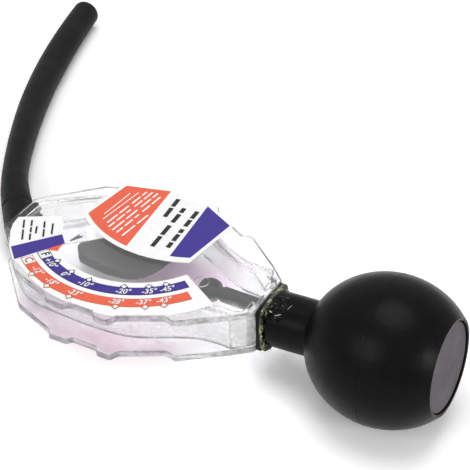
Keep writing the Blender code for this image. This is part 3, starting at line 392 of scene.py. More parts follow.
def add_node(tree, kind, inputs=None, **settings):
    node = tree.nodes.new(kind)
    for key, value in settings.items():
        setattr(node, key, value)
    feed(tree, node, inputs or {})
    return node


def coords(tree, scale=(1, 1, 1), rotation=(0, 0, 0), shift=(0, 0, 0)):
    return add_node(tree, "ShaderNodeMapping", {
        "Vector": add_node(tree, "ShaderNodeTexCoord").outputs["Object"],
        "Location": shift, "Rotation": rotation, "Scale": scale,
    })


def speckle(tree, vector, scale, detail=4.0, roughness=0.6):
    return add_node(tree, "ShaderNodeTexNoise", {
        "Vector": vector, "Scale": scale, "Detail": detail, "Roughness": roughness,
    })


def spread(tree, source, low, high, to_low=0.0, to_high=1.0):
    return add_node(tree, "ShaderNodeMapRange", {
        "Value": source, "From Min": low, "From Max": high, "To Min": to_low, "To Max": to_high,
    })


def maths(tree, operation, *values):
    """A Math node on numbers and other nodes."""
    return add_node(tree, "ShaderNodeMath", dict(enumerate(values)), operation=operation)


def blend(tree, factor, first, second):
    """A Mix node set to colours, whose colour sockets are 6, 7 and 2."""
    inputs = {0: factor, 6: first, 7: second}
    return add_node(tree, "ShaderNodeMix", inputs, data_type="RGBA").outputs[2]


def mix_shaders(tree, factor, first, second):
    return add_node(tree, "ShaderNodeMixShader", {0: factor, 1: first, 2: second})


def bump(tree, height, strength, distance, under=None):
    inputs = {"Height": height, "Strength": strength, "Distance": distance}
    if under is not None:
        inputs["Normal"] = under
    return add_node(tree, "ShaderNodeBump", inputs)


def patch(tree, centre, halves):
    """1 at the patch's centre, falling to 0 at its edge."""
    middle = LYING @ Vector(centre)
    vector = coords(
        tree, tuple(1 / half for half in halves),
        shift=tuple(-place / half for place, half in zip(middle, halves)),
    )
    ball = add_node(tree, "ShaderNodeTexGradient", {"Vector": vector}, gradient_type="SPHERICAL")
    return ball.outputs["Fac"]


def face_value(tree, name):
    return add_node(tree, "ShaderNodeAttribute", attribute_name=name).outputs["Fac"]


def rubber_finish(name, dark, light, rough, shine):
    """Moulded rubber: mottled, with fine grain and a few specks of dust."""
    made, tree, shader, _ = material(name)
    vector = coords(tree)
    cloud = spread(tree, speckle(tree, vector, 90.0), 0.35, 0.7)
    dust = spread(tree, speckle(tree, vector, 1900.0, 2.0, 0.5), 0.745, 0.775)
    soft = bump(tree, speckle(tree, vector, 260.0, 2.0), 0.10, 0.0008)
    feed(tree, shader, {
        "Base Color": blend(tree, dust, blend(tree, cloud, dark, light), DUST_COLOUR),
        "Roughness": spread(tree, speckle(tree, vector, 160.0, 5.0), 0.3, 0.7, *rough),
        "Specular IOR Level": shine,
        "Normal": bump(tree, speckle(tree, vector, 9000.0, 3.0), 0.12, 0.00008, soft),
    })
    return made


def clear_finish(name, light_patches, haze, crumpled=False):
    """Clear moulded plastic with milky, streaky walls and rims, and patches of painted lilac light and shade;
    lamp light passes to what lies inside.
    """
    made, tree, shader, output = material(name)
    cloud = spread(tree, speckle(tree, coords(tree), 70.0, 3.0), 0.3, 0.6, 0.35, 1.0)
    cloud = maths(tree, "MULTIPLY", cloud, face_value(tree, "tint"))
    glass, milk = CLEAR_COLOUR, HAZE_COLOUR
    # Each patch paints its lilac light and shade into the glass and into the milk, as strongly as the face's
    # tint allows
    for centre, halves, strength, glass_painted_tint, milk_painted_tint in light_patches:
        here = spread(tree, patch(tree, centre, halves), 0.0, 1.0, 0.0, strength)
        here = maths(tree, "MULTIPLY", maths(tree, "MINIMUM", here, 1.0), cloud)
        glass = blend(tree, here, glass, glass_painted_tint)
        milk = blend(tree, here, milk, milk_painted_tint)
    flow = speckle(tree, coords(tree, FLOW_SCALE), 1.0, 2.0)
    scuffs = speckle(tree, coords(tree, SCUFF_SCALE, SCUFF_TURN), 1.0, 5.0, 0.75)
    feed(tree, shader, {
        "Base Color": glass, "Transmission Weight": 1.0, "IOR": CLEAR_IOR, "Roughness": 0.02,
        "Normal": bump(tree, scuffs, 0.35, 0.00004, bump(tree, flow, 0.2, 0.00004)),
    })
    on_flats = spread(tree, scuffs, 0.5, 0.8, *haze[0])
    if crumpled:
        creases = coords(tree, CREASE_SCALE, CREASE_TURN)
        creases = spread(tree, speckle(tree, creases, 1.0, 6.0, 0.8), 0.44, 0.64, 0.1, 0.85)
        near = spread(tree, patch(tree, *CRUMPLED_PATCH), 0.0, 0.6)
        on_flats = maths(tree, "MAXIMUM", on_flats, maths(tree, "MULTIPLY", near, creases))
    on_walls = spread(tree, scuffs, 0.4, 0.62, *haze[1])
    shares = {0: face_value(tree, "wall"), 2: on_flats, 3: on_walls}
    hazy = add_node(tree, "ShaderNodeMix", shares, data_type="FLOAT")
    from_inside = add_node(tree, "ShaderNodeNewGeometry").outputs["Backfacing"]
    hazy = maths(tree, "MULTIPLY", hazy, spread(tree, from_inside, 0.0, 1.0, 1.0, MILKY_SEEN_FROM_INSIDE))
    body = mix_shaders(tree, hazy, shader, add_node(tree, "ShaderNodeBsdfDiffuse", {"Color": milk}))
    warm = spread(tree, patch(tree, *WARM_PATCH), 0.0, 0.5)
    passed = blend(tree, warm, CLEAR_SHADOW, WARM_SHADOW)
    open_light = add_node(tree, "ShaderNodeBsdfTransparent", {"Color": passed})
    shadow = add_node(tree, "ShaderNodeLightPath").outputs["Is Shadow Ray"]
    feed(tree, output, {"Surface": mix_shaders(tree, shadow, body, open_light)})
    return made


def arm_finish():
    """The pointer's strip: so thin and clear that only its edges show a little."""
    made, tree, shader, output = material("clear_arm_plastic")
    feed(tree, shader, {
        "Base Color": CLEAR_COLOUR, "Transmission Weight": 1.0, "IOR": 1.2, "Roughness": 0.05,
    })
    facing = add_node(tree, "ShaderNodeLayerWeight", {"Blend": 0.5}).outputs["Facing"]
    edges = spread(tree, facing, 0.5, 1.0, 0.06, 0.7)
    uneven = maths(tree, "MULTIPLY", speckle(tree, coords(tree), 300.0), edges)
    open_light = add_node(tree, "ShaderNodeBsdfTransparent", {"Color": WHITE})
    feed(tree, output, {"Surface": mix_shaders(tree, uneven, open_light, shader)})
    return made


def glossy_finish(name, dark, light, grain, limits, roughness, shine, relief):
    """Two colours in clouds, under a slightly uneven shine."""
    made, tree, shader, _ = material(name)
    vector = coords(tree)
    feed(tree, shader, {
        "Base Color": blend(tree, spread(tree, speckle(tree, vector, *grain), *limits), dark, light),
        "Roughness": roughness, "Specular IOR Level": shine,
        "Normal": bump(tree, speckle(tree, vector, 420.0, 2.0), *relief),
    })
    return made


def print_finish(name, colour, roughness=0.32):
    dark = tuple(part * 0.9 for part in colour)
    return glossy_finish(name, dark, colour, (700.0, 3.0), (0.3, 0.7), roughness, 0.12, (0.05, 0.0003))


def float_finish():
    """Grey plastic, faintly streaked, and mottled with lighter clouds that are partly its own uneven tone and
    partly painted reflection of the labels.
    """
    made, tree, shader, _ = material("float_grey_plastic")
    vector = coords(tree)
    cloud = spread(tree, speckle(tree, vector, 120.0, 6.0, 0.7), 0.35, 0.65)
    streaks = spread(tree, speckle(tree, coords(tree, (500.0, 120.0, 100.0)), 1.0, 3.0), 0.4, 0.7)
    # The lighter clouds are partly the plastic's uneven tone and partly painted reflection of the labels
    base = blend(tree, cloud, FLOAT_DARK, FLOAT_TONE_AND_REFLECTION)
    feed(tree, shader, {
        "Base Color": blend(tree, streaks, base, FLOAT_STREAK),
        "Roughness": 0.5, "Specular IOR Level": 0.2,
        "Normal": bump(tree, speckle(tree, vector, 2500.0, 3.0), 0.2, 0.0001),
    })
    return made


def metal_finish(name, colour, roughness):
    """Turned metal."""
    made, tree, shader, _ = material(name)
    turning = speckle(tree, coords(tree, (900.0, 900.0, 120.0)), 1.0, 3.0)
    shadow = tuple(part * 0.8 for part in colour)
    feed(tree, shader, {
        "Metallic": 1.0, "Base Color": blend(tree, spread(tree, turning, 0.3, 0.7), shadow, colour),
        "Roughness": spread(tree, turning, 0.3, 0.7, roughness * 0.8, roughness * 1.3),
    })
    return made


def glue_finish():
    """Set glue: clear yellow-green and bubbly, with darker patches, a stain, and pale patches that are partly
    cloudy glue and partly painted glints.
    """
    made, tree, shader, _ = material("set_glue")
    vector = coords(tree)
    cloud = spread(tree, speckle(tree, vector, 620.0, 4.0, 0.7), 0.5, 0.64)
    tilted = coords(tree, rotation=(0.4, 0.9, 0.2))
    dark_patches = spread(tree, speckle(tree, tilted, 430.0, 4.0, 0.65), 0.49, 0.55)
    # Pale patches in the glue: partly cloudy glue, partly painted glints
    clear = blend(tree, cloud, GLUE_CLEAR, GLUE_CLOUDY_AND_GLINT)
    colour = blend(tree, dark_patches, GLUE_DARK_PATCH, clear)
    along, angle, half = GLUE_STAIN
    middle = BULB_AXIS @ Vector(turned(along, GLUE_HALF_WIDTH, angle))
    stain = spread(tree, patch(tree, middle, (half, half, half)), 0.1, 0.5)
    feed(tree, shader, {
        "Base Color": blend(tree, stain, colour, GLUE_STAINED),
        "Transmission Weight": 0.15, "IOR": 1.5, "Roughness": 0.07,
        "Normal": bump(tree, speckle(tree, vector, 900.0, 3.0), 0.8, 0.0008),
    })
    return made


def smear_finish():
    """Black glossy glue drawn out over the rubber, flecked with paler painted glints."""
    return glossy_finish(
        "glue_smear_black", *SMEAR_BLACK_AND_GLINT, (800.0, 2.0), (0.63, 0.68), 0.16, 0.08, (0.8, 0.0009),
    )


# Shapes

def skin(block, rings, looped=False):
    """Join the rings one to the next, cap the ends unless they loop, and turn all faces out."""
    for here, there in zip(rings, rings[1:] + rings[:1] if looped else rings[1:]):
        for index in range(len(here)):
            after = (index + 1) % len(here)
            block.faces.new((here[index], here[after], there[after], there[index]))
    if not looped:
        block.faces.new(rings[0])
        block.faces.new(rings[-1])
    bmesh.ops.recalc_face_normals(block, faces=block.faces)
    return block


def prism(outline, low, high):
    block = bmesh.new()
    return skin(block, [[block.verts.new((x, y, z)) for x, y in outline] for z in (low, high)])


def turned(x, radius, angle):
    """A point at a radius and an angle round the X axis."""
    return (x, radius * cos(angle), radius * sin(angle))


def all_round(block, sides, point):
    """A ring of new points, each placed by its angle."""
    return [block.verts.new(point(2 * pi * side / sides)) for side in range(sides)]


def lathe(profile, sides, looped=True):
    """Turn a profile of (along, radius) points round the X axis."""
    block = bmesh.new()
    rings = [all_round(block, sides, lambda angle: turned(x, radius, angle)) for x, radius in profile]
    return skin(block, rings, looped)


def on_arc(centre, radius, angle):
    return (centre[0] + radius * cos(angle), centre[1] + radius * sin(angle))


def arc(centre, radius, start, end, steps):
    return [on_arc(centre, radius, start + (end - start) * step / steps) for step in range(steps + 1)]


def wobble(*place):
    return noise.noise(Vector(place))


def merged_copy(node, name, finish, body="tester_body"):
    """The CAD node's own shape as one joined mesh, whose faces carry how milky they are and how strongly the
    painted lilac light shows on them.
    """
    block = bmesh.new()
    block.from_mesh(frame["nodes"][node].data)
    bmesh.ops.remove_doubles(block, verts=block.verts, dist=MERGE_DISTANCE)
    walls = block.faces.layers.float.new("wall")
    tints = block.faces.layers.float.new("tint")
    upward = LYING.to_3x3() @ Vector((0, 0, 1))
    to_tester = LYING.inverted()
    for face in block.faces:
        steep = 1.0 - abs(face.normal.dot(upward))
        place = to_tester @ face.calc_center_median()
        # A face's tint scales the painted lilac light on it
        wall, tint = steep * MILKY_RIM, 1.0 + steep * RIM_EXTRA_TINT
        if place.x < CLEAR_CORNER_END:
            wall, tint = 0.0, 1.0
        elif PLATE_THICKNESS < place.z < BODY_DEPTH - PLATE_THICKNESS:
            wall = steep * (MILKY_FRONT_WALL if place.y < 0 else MILKY_FAR_WALL)
            tint = 1.0 - WALL_LESS_TINT * steep
        elif BEVEL_STEEP[0] < steep < BEVEL_STEEP[1]:
            wall, tint = MILKY_BEVEL if face.normal.dot(upward) > 0.0 else MILKY_UNDERSIDE, 1.0
        face[walls] = wall
        face[tints] = tint
    add_piece(name, block, finish, body, Matrix.Identity(4), node)


# Camera, floor and light

def make_camera():
    data = bpy.data.cameras.new("camera")
    data.lens = CAMERA_LENS
    camera = link("camera", data)
    turn = LYING.to_3x3()
    right = turn @ CAMERA_RIGHT.normalized()
    up = turn @ -CAMERA_DOWN.normalized()
    view = Matrix((right, up, right.cross(up))).transposed().to_4x4()
    camera.matrix_world = Matrix.Translation(LYING @ CAMERA_PLACE) @ view
    bpy.context.scene.camera = camera


def seen_directly(tree):
    """1 for rays from the camera, also by way of gloss or glass."""
    path = add_node(tree, "ShaderNodeLightPath").outputs
    first = maths(tree, "MAXIMUM", path["Is Camera Ray"], path["Is Glossy Ray"])
    return maths(tree, "MAXIMUM", first, path["Is Transmission Ray"])


def make_floor():
    made, tree, shader, _ = material("floor_white")
    feed(tree, shader, {
        "Base Color": blend(tree, seen_directly(tree), FLOOR_LIT, FLOOR_SEEN),
        "Roughness": 1.0, "Specular IOR Level": 0.0,
    })
    mesh = bpy.data.meshes.new("floor")
    mesh.from_pydata([(x * FLOOR_HALF, y * FLOOR_HALF, 0.0) for x, y in SQUARE], [], [(0, 1, 2, 3)])
    mesh.materials.append(made)
    link("floor", mesh)


def make_world():
    world = bpy.data.worlds.new("studio")
    bpy.context.scene.world = world
    world.use_nodes = True
    tree = world.node_tree
    sky = add_node(tree, "ShaderNodeTexCoord").outputs["Generated"]
    split = add_node(tree, "ShaderNodeSeparateXYZ", {"Vector": sky})
    seen = blend(tree, spread(tree, split.outputs["Z"], *WORLD_HEIGHTS), WORLD_HORIZON, WHITE)
    straight = add_node(tree, "ShaderNodeLightPath").outputs["Is Camera Ray"]
    seen = blend(tree, straight, seen, WHITE)
    lit = blend(tree, seen_directly(tree), WORLD_FILL, seen)
    feed(tree, tree.nodes["Background"], {"Color": lit})


def make_lamps():
    for name, (direction, distance, width, power) in LAMPS.items():
        data = bpy.data.lights.new(name, "AREA")
        data.shape = "DISK"
        data.size = width
        data.energy = power
        lamp = link(name, data)
        aim = direction.normalized()
        lamp.location = aim * distance
        lamp.rotation_euler = aim.to_track_quat("Z", "Y").to_euler()


# Geometry Nodes

def start_tree(name, kinds):
    """A node group, the sockets of its named inputs and their identifiers."""
    tree = bpy.data.node_groups.new(name, "GeometryNodeTree")
    names = {}
    for label, kind in (("Geometry", "Geometry"), *kinds.items(), ("Finish", "Material")):
        socket = tree.interface.new_socket(label, in_out="INPUT", socket_type="NodeSocket" + kind)
        names[label] = socket.identifier
    tree.interface.new_socket("Geometry", in_out="OUTPUT", socket_type="NodeSocketGeometry")
    return tree, add_node(tree, "NodeGroupInput").outputs, names


def end_tree(tree, start, geometry):
    real = add_node(tree, "GeometryNodeRealizeInstances", {"Geometry": geometry})
    painted = add_node(tree, "GeometryNodeSetMaterial", {"Geometry": real, "Material": start["Finish"]})
    add_node(tree, "NodeGroupOutput", {"Geometry": painted})


def carried(tree, name):
    """A number that each point of the seed carries."""
    return add_node(tree, "GeometryNodeInputNamedAttribute", {"Name": name})


def plain_mesh(item):
    bpy.context.view_layer.update()
    graph = bpy.context.evaluated_depsgraph_get()
    return bpy.data.meshes.new_from_object(item.evaluated_get(graph), depsgraph=graph)


def grown(name, places, edges, columns, tree, names, values, place=None):
    """Run a node tree once on points that carry numbers, and keep the plain mesh it makes."""
    points = bpy.data.meshes.new(name + "_points")
    points.from_pydata(places, edges, [])
    for column, numbers in columns.items():
        points.attributes.new(column, "FLOAT", "POINT").data.foreach_set("value", list(numbers))
    seed = link(name + "_seed", points)
    modifier = seed.modifiers.new("grow", "NODES")
    modifier.node_group = tree
    for label, value in values.items():
        modifier[names[label]] = value
    mesh = plain_mesh(seed)
    seed.modifiers.remove(modifier)
    bpy.data.objects.remove(seed)
    mesh.name = name
    if place is not None:
        mesh.transform(place)
    item = link(name, mesh)
    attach(item, "tester_body")
    return item


# Hose

def smooth_path(points, steps):
    """Catmull-Rom curve through the points."""
    ends = [points[0] * 2 - points[1]] + points + [points[-1] * 2 - points[-2]]
    path = []
    for index in range(len(points) - 1):
        a, b, c, d = ends[index:index + 4]
        for step in range(steps):
            t = step / steps
            path.append(0.5 * (
                2 * b + (c - a) * t + (2 * a - 5 * b + 4 * c - d) * t * t
                + (3 * b - a - 3 * c + d) * t * t * t
            ))
    path.append(points[-1])
    return path


def even_path(points, count):
    """Evenly spaced places on the curve through the points, and its length."""
    dense = smooth_path(points, 12)
    lengths = [0.0]
    for before, after in zip(dense, dense[1:]):
        lengths.append(lengths[-1] + (after - before).length)
    path = []
    index = 0
    for step in range(count + 1):
        target = lengths[-1] * step / count
        while index < len(dense) - 2 and lengths[index + 1] < target:
            index += 1
        share = (target - lengths[index]) / (lengths[index + 1] - lengths[index])
        path.append(dense[index].lerp(dense[index + 1], min(share, 1.0)))
    return path, lengths[-1]


def read_along(values, share, eased=False):
    """Read a row of values, evenly spaced from 0 to 1, at a share; eased, it rests at each value."""
    place = share * (len(values) - 1)
    index = min(int(place), len(values) - 2)
    part = place - index
    if eased:
        part *= part * (3 - 2 * part)
    return values[index] + (values[index + 1] - values[index]) * part


def hose_tree():
    """Sweep a ring along a path whose points carry a width and a flatness."""
    tree, start, names = start_tree("hose_tube", {"Sides": "Int"})
    line = add_node(tree, "GeometryNodeMeshToCurve", {"Mesh": start["Geometry"]})
    ring = add_node(tree, "GeometryNodeCurvePrimitiveCircle", {"Radius": 1.0, "Resolution": start["Sides"]})
    tube = add_node(tree, "GeometryNodeCurveToMesh", {
        "Curve": line, "Profile Curve": ring, "Scale": carried(tree, "half_width"),
    })
    place = add_node(tree, "GeometryNodeInputPosition")
    parts = add_node(tree, "ShaderNodeSeparateXYZ", {"Vector": place}).outputs
    above = maths(tree, "SUBTRACT", parts["Z"], carried(tree, "level"))
    pressed = maths(tree, "MULTIPLY_ADD", above, carried(tree, "flatness"), carried(tree, "lift"))
    joined = add_node(tree, "ShaderNodeCombineXYZ", {"X": parts["X"], "Y": parts["Y"], "Z": pressed})
    end_tree(tree, start, add_node(tree, "GeometryNodeSetPosition", {"Geometry": tube, "Position": joined}))
    return tree, names


def make_hose(finish):
    outward = Vector((-cos(NOZZLE_ANGLE), sin(NOZZLE_ANGLE), 0.0))
    start = LYING @ (Vector((0.0, 0.0, NOZZLE_HEIGHT)) + outward * (COLLAR_REACH + SEAT_GAP))
    path, length = even_path([start + Vector(place) for place in HOSE_ROUTE], HOSE_RINGS)
    rows = []
    for index, place in enumerate(path):
        share = index / (len(path) - 1)
        width = read_along(HOSE_WIDTHS, share, eased=True)
        height = 2 * HOSE_DIAMETER - width
        on_floor = min(1.0, share / HOSE_DOWN_SHARE)
        lift = place.z + (height - HOSE_DIAMETER) / 2 * on_floor + HOSE_LIFT
        rows.append((width / 2, height / width, place.z, lift))
    columns = dict(zip(("half_width", "flatness", "level", "lift"), zip(*rows)))
    edges = [(index, index + 1) for index in range(len(path) - 1)]
    hose = grown("hose_tube", path, edges, columns, *hose_tree(), {"Sides": HOSE_SIDES, "Finish": finish})
    block = bmesh.new()
    block.from_mesh(hose.data)
    bmesh.ops.recalc_face_normals(block, faces=block.faces)
    block.to_mesh(hose.data)
    block.free()
    hose.data.shade_smooth()
    wall = hose.modifiers.new("wall", "SOLIDIFY")
    wall.thickness = HOSE_WALL
    wall.offset = -1.0
    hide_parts("hose")


# Bulb and collar

BULB_AXIS = (
    Matrix.Translation((BODY_LENGTH, BULB_SEAT_SIDE, BULB_SEAT_HEIGHT))
    @ Matrix.Rotation(BULB_LEAN_SIDE, 4, "Z") @ Matrix.Rotation(-BULB_LEAN_UP, 4, "Y")
)
ON_BULB = LYING @ BULB_AXIS


def squared(value, squareness):
    return abs(value) ** (2 / squareness) * (1 if value > 0 else -1)


def make_collar_root(finish):
    """The nozzle's wide root, sunk in the clear end wall, and its rim inside the chamber."""
    for name, ((low, high), (y, z), half_width, half_height, squareness) in COLLAR_ROOTS.items():
        block = bmesh.new()
        rings = [all_round(block, ROOT_SIDES, lambda angle: (
            x,
            y + (half_width - inset) * squared(cos(angle), squareness),
            z + (half_height - inset) * squared(sin(angle), squareness),
        )) for x, inset in (
            (low, ROOT_EDGE), (low + ROOT_EDGE, 0.0), (high - ROOT_EDGE, 0.0), (high, ROOT_EDGE),
        )]
        add_piece(name, skin(block, rings), finish)


def ellipse_half(radius, long_radius, height):
    return long_radius * sqrt(1.0 - (height / radius) ** 2)


def ellipse_angle(radius, long_radius, height, side=1):
    """The angle on an ellipse where it is this high, before or behind its middle."""
    return atan2(height / radius, side * ellipse_half(radius, long_radius, height) / long_radius)


def make_bulb(finish):
    shoulder = NECK_RADIUS + NECK_FILLET
    neck_end = BULB_REACH - ellipse_half(*BULB_OUTLINE, shoulder) - NECK_FILLET
    profile = [(NECK_START, NECK_RADIUS - NECK_EDGE), (NECK_START + NECK_EDGE, NECK_RADIUS)]
    for step in range(1, NECK_STEPS + 1):
        profile.append((NECK_START + (neck_end - NECK_START) * step / NECK_STEPS, NECK_RADIUS))
    for step in range(1, NECK_FILLET_STEPS):
        angle = pi / 2 * step / NECK_FILLET_STEPS
        profile.append((neck_end + NECK_FILLET * sin(angle), NECK_RADIUS + NECK_FILLET * (1 - cos(angle))))
    first = ellipse_angle(*BULB_OUTLINE, shoulder, -1)
    last = ellipse_angle(*BULB_OUTLINE, TAIL_RIM_RADIUS)
    for step in range(BULB_STEPS + 1):
        angle = first + (last - first) * step / BULB_STEPS
        x = BULB_REACH + BULB_HALF_LENGTH * cos(angle)
        from_seam = abs(x - BULB_REACH)
        if from_seam > 3 * SEAM_HALF_WIDTH:
            profile.append((x, BULB_RADIUS * sin(angle)))
        elif from_seam < SEAM_HALF_WIDTH:
            for along, deep in SEAM_SHAPE:
                profile.append((BULB_REACH + along * SEAM_HALF_WIDTH, BULB_RADIUS - deep * SEAM_DEPTH))
    lip = BULB_REACH + ellipse_half(*BULB_OUTLINE, TAIL_RIM_RADIUS)
    seat = DISC_RADIUS + SEAT_GAP
    profile.append((lip, TAIL_RIM_RADIUS - TAIL_RIM_EDGE))
    for along, out in TAIL_LIP:
        profile.append((lip + along, seat + out))
    inner = (BULB_RADIUS - BULB_WALL, BULB_HALF_LENGTH - BULB_WALL)
    bore = BULB_SPIGOT_RADIUS + SEAT_GAP
    first = ellipse_angle(*inner, seat)
    last = ellipse_angle(*inner, bore, -1)
    for step in range(BULB_INNER_STEPS + 1):
        angle = first + (last - first) * step / BULB_INNER_STEPS
        profile.append((BULB_REACH + inner[1] * cos(angle), inner[0] * sin(angle)))
    profile.append((NECK_START, bore))
    block = lathe(profile, BULB_SIDES)
    add_piece(
        "squeeze_bulb", block, finish, place=ON_BULB, node="bulb", angle=BULB_SMOOTH_BELOW,
    )


def make_end_disc(finish):
    high = BULB_REACH + ellipse_half(*BULB_OUTLINE, TAIL_RIM_RADIUS) - DISC_RECESS
    block = lathe((
        (high - DISC_THICKNESS, DISC_RADIUS),
        (high - DISC_EDGE, DISC_RADIUS),
        (high, DISC_RADIUS - DISC_EDGE),
    ), DISC_SIDES, looped=False)
    add_piece("bulb_tail_disc", block, finish, place=ON_BULB, node="bulb_end_disc")


def make_smear(finish):
    """A thin uneven skin of glue on the neck, running out over the rubber."""
    start, end = SMEAR_ALONG
    first, last = SMEAR_AROUND
    along, around = SMEAR_STEPS
    block = bmesh.new()
    rings = []
    for step in range(along + 1):
        over, under = [], []
        for side in range(around + 1):
            across = side / around
            angle = first + (last - first) * across
            reach = SMEAR_EDGE * wobble(angle * 4, 3.0, 0.0)
            ahead = start + (end + reach - start) * step / along
            edge = min(1.0, 5 * min(across, 1 - across), 4 * (1 - step / along) + 0.02)
            lump = 0.6 + 0.6 * wobble(ahead * 700, angle * 6, 1.0)
            thick = SMEAR_THICKNESS * max(0.0, edge) * max(0.1, lump)
            over.append(block.verts.new(turned(ahead, NECK_RADIUS + thick, angle)))
            under.append(block.verts.new(turned(ahead, NECK_RADIUS - SEAM_DEPTH, angle)))
        rings.append(over + under[::-1])
    add_piece("glue_smear", skin(block, rings), finish, place=ON_BULB, angle=GLUE_SMOOTH_BELOW)


def make_glint_threads(finish):
    """Painted glints: pale slivers lying on the neck and the ring of glue, where reflections shine."""
    block = bmesh.new()
    for (first_x, first_turn), (last_x, last_turn), half in PAINTED_GLINT_THREADS:
        on_ring = first_x < NECK_START + NECK_EDGE
        radius = NECK_RADIUS + (GLUE_HALF_WIDTH - NECK_RADIUS if on_ring else SMEAR_THICKNESS / 2)
        turning = radians(last_turn) - radians(first_turn)
        rings = []
        for step in range(THREAD_STEPS + 1):
            share = step / THREAD_STEPS
            swell = max(THREAD_TIP, sqrt(1.0 - (2 * share - 1) ** 2))
            swell *= 1 + THREAD_UNEVEN * wobble(step, first_x * 900, 0)
            turn = radians(first_turn) + turning * share
            middle = Vector(turned(first_x + (last_x - first_x) * share, radius, turn))
            out = Vector(turned(0, 1, turn))
            run = Vector((last_x - first_x, -radius * sin(turn) * turning, radius * cos(turn) * turning))
            across = run.normalized().cross(out)
            rings.append(all_round(block, THREAD_SIDES, lambda angle: (
                middle + (across * cos(angle) + out * THREAD_FLATNESS * sin(angle)) * half * swell
            )))
        skin(block, rings)
    add_piece("glue_threads", block, finish, place=ON_BULB, angle=THREAD_SMOOTH_BELOW)


def make_glue(finish):
    """A lumpy, rounded square ring of set glue round the neck."""
    block = bmesh.new()
    rings = []
    power = 2 + 4 * (1 - GLUE_CORNER_RADIUS / GLUE_HALF_WIDTH)
    for side in range(GLUE_AROUND):
        angle = 2 * pi * side / GLUE_AROUND
        c, s = cos(angle), sin(angle)
        reach = (abs(c) / GLUE_HALF_WIDTH) ** power + (abs(s) / GLUE_HALF_HEIGHT) ** power
        reach = max(reach ** (-1 / power), NECK_RADIUS + GLUE_ON_NECK)
        spill = (GLUE_END - GLUE_START) / 2 * (GLUE_THIN + (1 - GLUE_THIN) * abs(s) ** 2)
        ring = []
        for step in range(GLUE_ACROSS):
            turn = 2 * pi * step / GLUE_ACROSS
            swell = 1.0
            for size, fast, across in GLUE_LUMPS:
                swell += size * wobble(c * fast, s * fast, step * across)
            x = GLUE_START + spill * (1 + sin(turn) * 0.97)
            x += GLUE_WAVE * wobble(c * 9, s * 9, 5.0) * max(0.0, sin(turn))
            radius = reach - GLUE_SUNK + GLUE_PROUD * cos(turn) * swell
            if cos(turn) < -0.2:
                radius = BULB_SPIGOT_RADIUS + GLUE_INNER_GAP
            ring.append(block.verts.new(turned(x, radius, angle)))
        rings.append(ring)
    block = skin(block, rings, looped=True)
    add_piece(
        "neck_glue", block, finish, place=ON_BULB, node="glue_bead", angle=GLUE_SMOOTH_BELOW,
    )


# Labels

def ink_low(layer):
    return LABEL_TOP + INK_GAP + layer * (INK_GAP + INK_THICKNESS)


def ink(name, outline, finish, layer=0):
    low = ink_low(layer)
    add_piece(name, prism(outline, low, low + INK_THICKNESS), finish, angle=None)


def band(name, radii, ends, finish, layer=0):
    outer = arc(DIAL_CENTRE, radii[1], ends[0], ends[1], BAND_STEPS)
    ink(name, outer + arc(DIAL_CENTRE, radii[0], ends[1], ends[0], BAND_STEPS), finish, layer)


def letters(name, entries, finish, layer):
    """Flat raised letters: entries are (text, place, turn, height, slant)."""
    block = bmesh.new()
    for text, place, turn, height, slant in entries:
        curve = bpy.data.curves.new("dial_words", "FONT")
        curve.body = text
        curve.size = height
        curve.shear = slant
        curve.offset = NUMBER_WEIGHT
        curve.align_x = curve.align_y = "CENTER"
        curve.resolution_u = 3
        writer = link("dial_words", curve)
        mesh = plain_mesh(writer)
        bpy.data.objects.remove(writer)
        squeeze = NUMBER_SQUEEZE if len(text) > 1 else 1.0
        mesh.transform(Matrix.Diagonal((squeeze, 1.0, 1.0, 1.0)))
        here = Matrix.Translation((place[0], place[1], ink_low(layer)))
        mesh.transform(here @ Matrix.Rotation(turn, 4, "Z"))
        block.from_mesh(mesh)
    bmesh.ops.remove_doubles(block, verts=block.verts, dist=LETTER_MERGE)
    made = bmesh.ops.extrude_face_region(block, geom=block.faces[:])
    raised = [part for part in made["geom"] if isinstance(part, bmesh.types.BMVert)]
    bmesh.ops.translate(block, verts=raised, vec=(0, 0, INK_THICKNESS))
    bmesh.ops.recalc_face_normals(block, faces=block.faces)
    add_piece(name, block, finish, angle=None)


def film_outline():
    """The scale label's outline and heights, read from the CAD node in the tester's frame."""
    block = bmesh.new()
    block.from_mesh(frame["nodes"]["scale_label"].data)
    bmesh.ops.remove_doubles(block, verts=block.verts, dist=MERGE_DISTANCE)
    bmesh.ops.transform(block, matrix=LYING.inverted(), verts=block.verts)
    block.normal_update()
    heights = [vertex.co.z for vertex in block.verts]
    top = [face for face in block.faces if face.normal.z > 0.5]
    joined = bmesh.ops.dissolve_faces(block, faces=top)["region"][0]
    points = [vertex.co.to_2d() for vertex in joined.verts]
    block.free()
    return points, min(heights), max(heights)


def make_scale_film(finish):
    """The scale label's film, its outer arc drawn in to one smooth curve off the plate's steps."""
    points, low, high = film_outline()
    first, last = FILM_ANGLES
    outline = []
    for point, following in zip(points, points[1:] + points[:1]):
        on_edge = min((point - DIAL_CENTRE).length, (following - DIAL_CENTRE).length) > FILM_EDGE_FROM
        cuts = FILM_CUTS if on_edge else 1
        for cut in range(cuts):
            spoke = point + (following - point) * cut / cuts - DIAL_CENTRE
            share = (atan2(spoke.y, spoke.x) - first) / (last - first)
            if 0.0 < share < 1.0:
                spoke *= min(read_along(FILM_RADII, share) / hypot(spoke.x, spoke.y), 1.0)
            outline.append(DIAL_CENTRE + spoke)
    add_piece("scale_film", prism(outline, low, high), finish, node="scale_label")


def diamonds_tree():
    """Put a diamond on every point of the seed."""
    tree, start, names = start_tree("dial_diamonds", {"Half Diagonal": "Float", "Thickness": "Float"})
    block = add_node(tree, "GeometryNodeMeshCylinder", {
        "Vertices": 4, "Radius": start["Half Diagonal"], "Depth": start["Thickness"],
    })
    return tree, start, names, block, {}


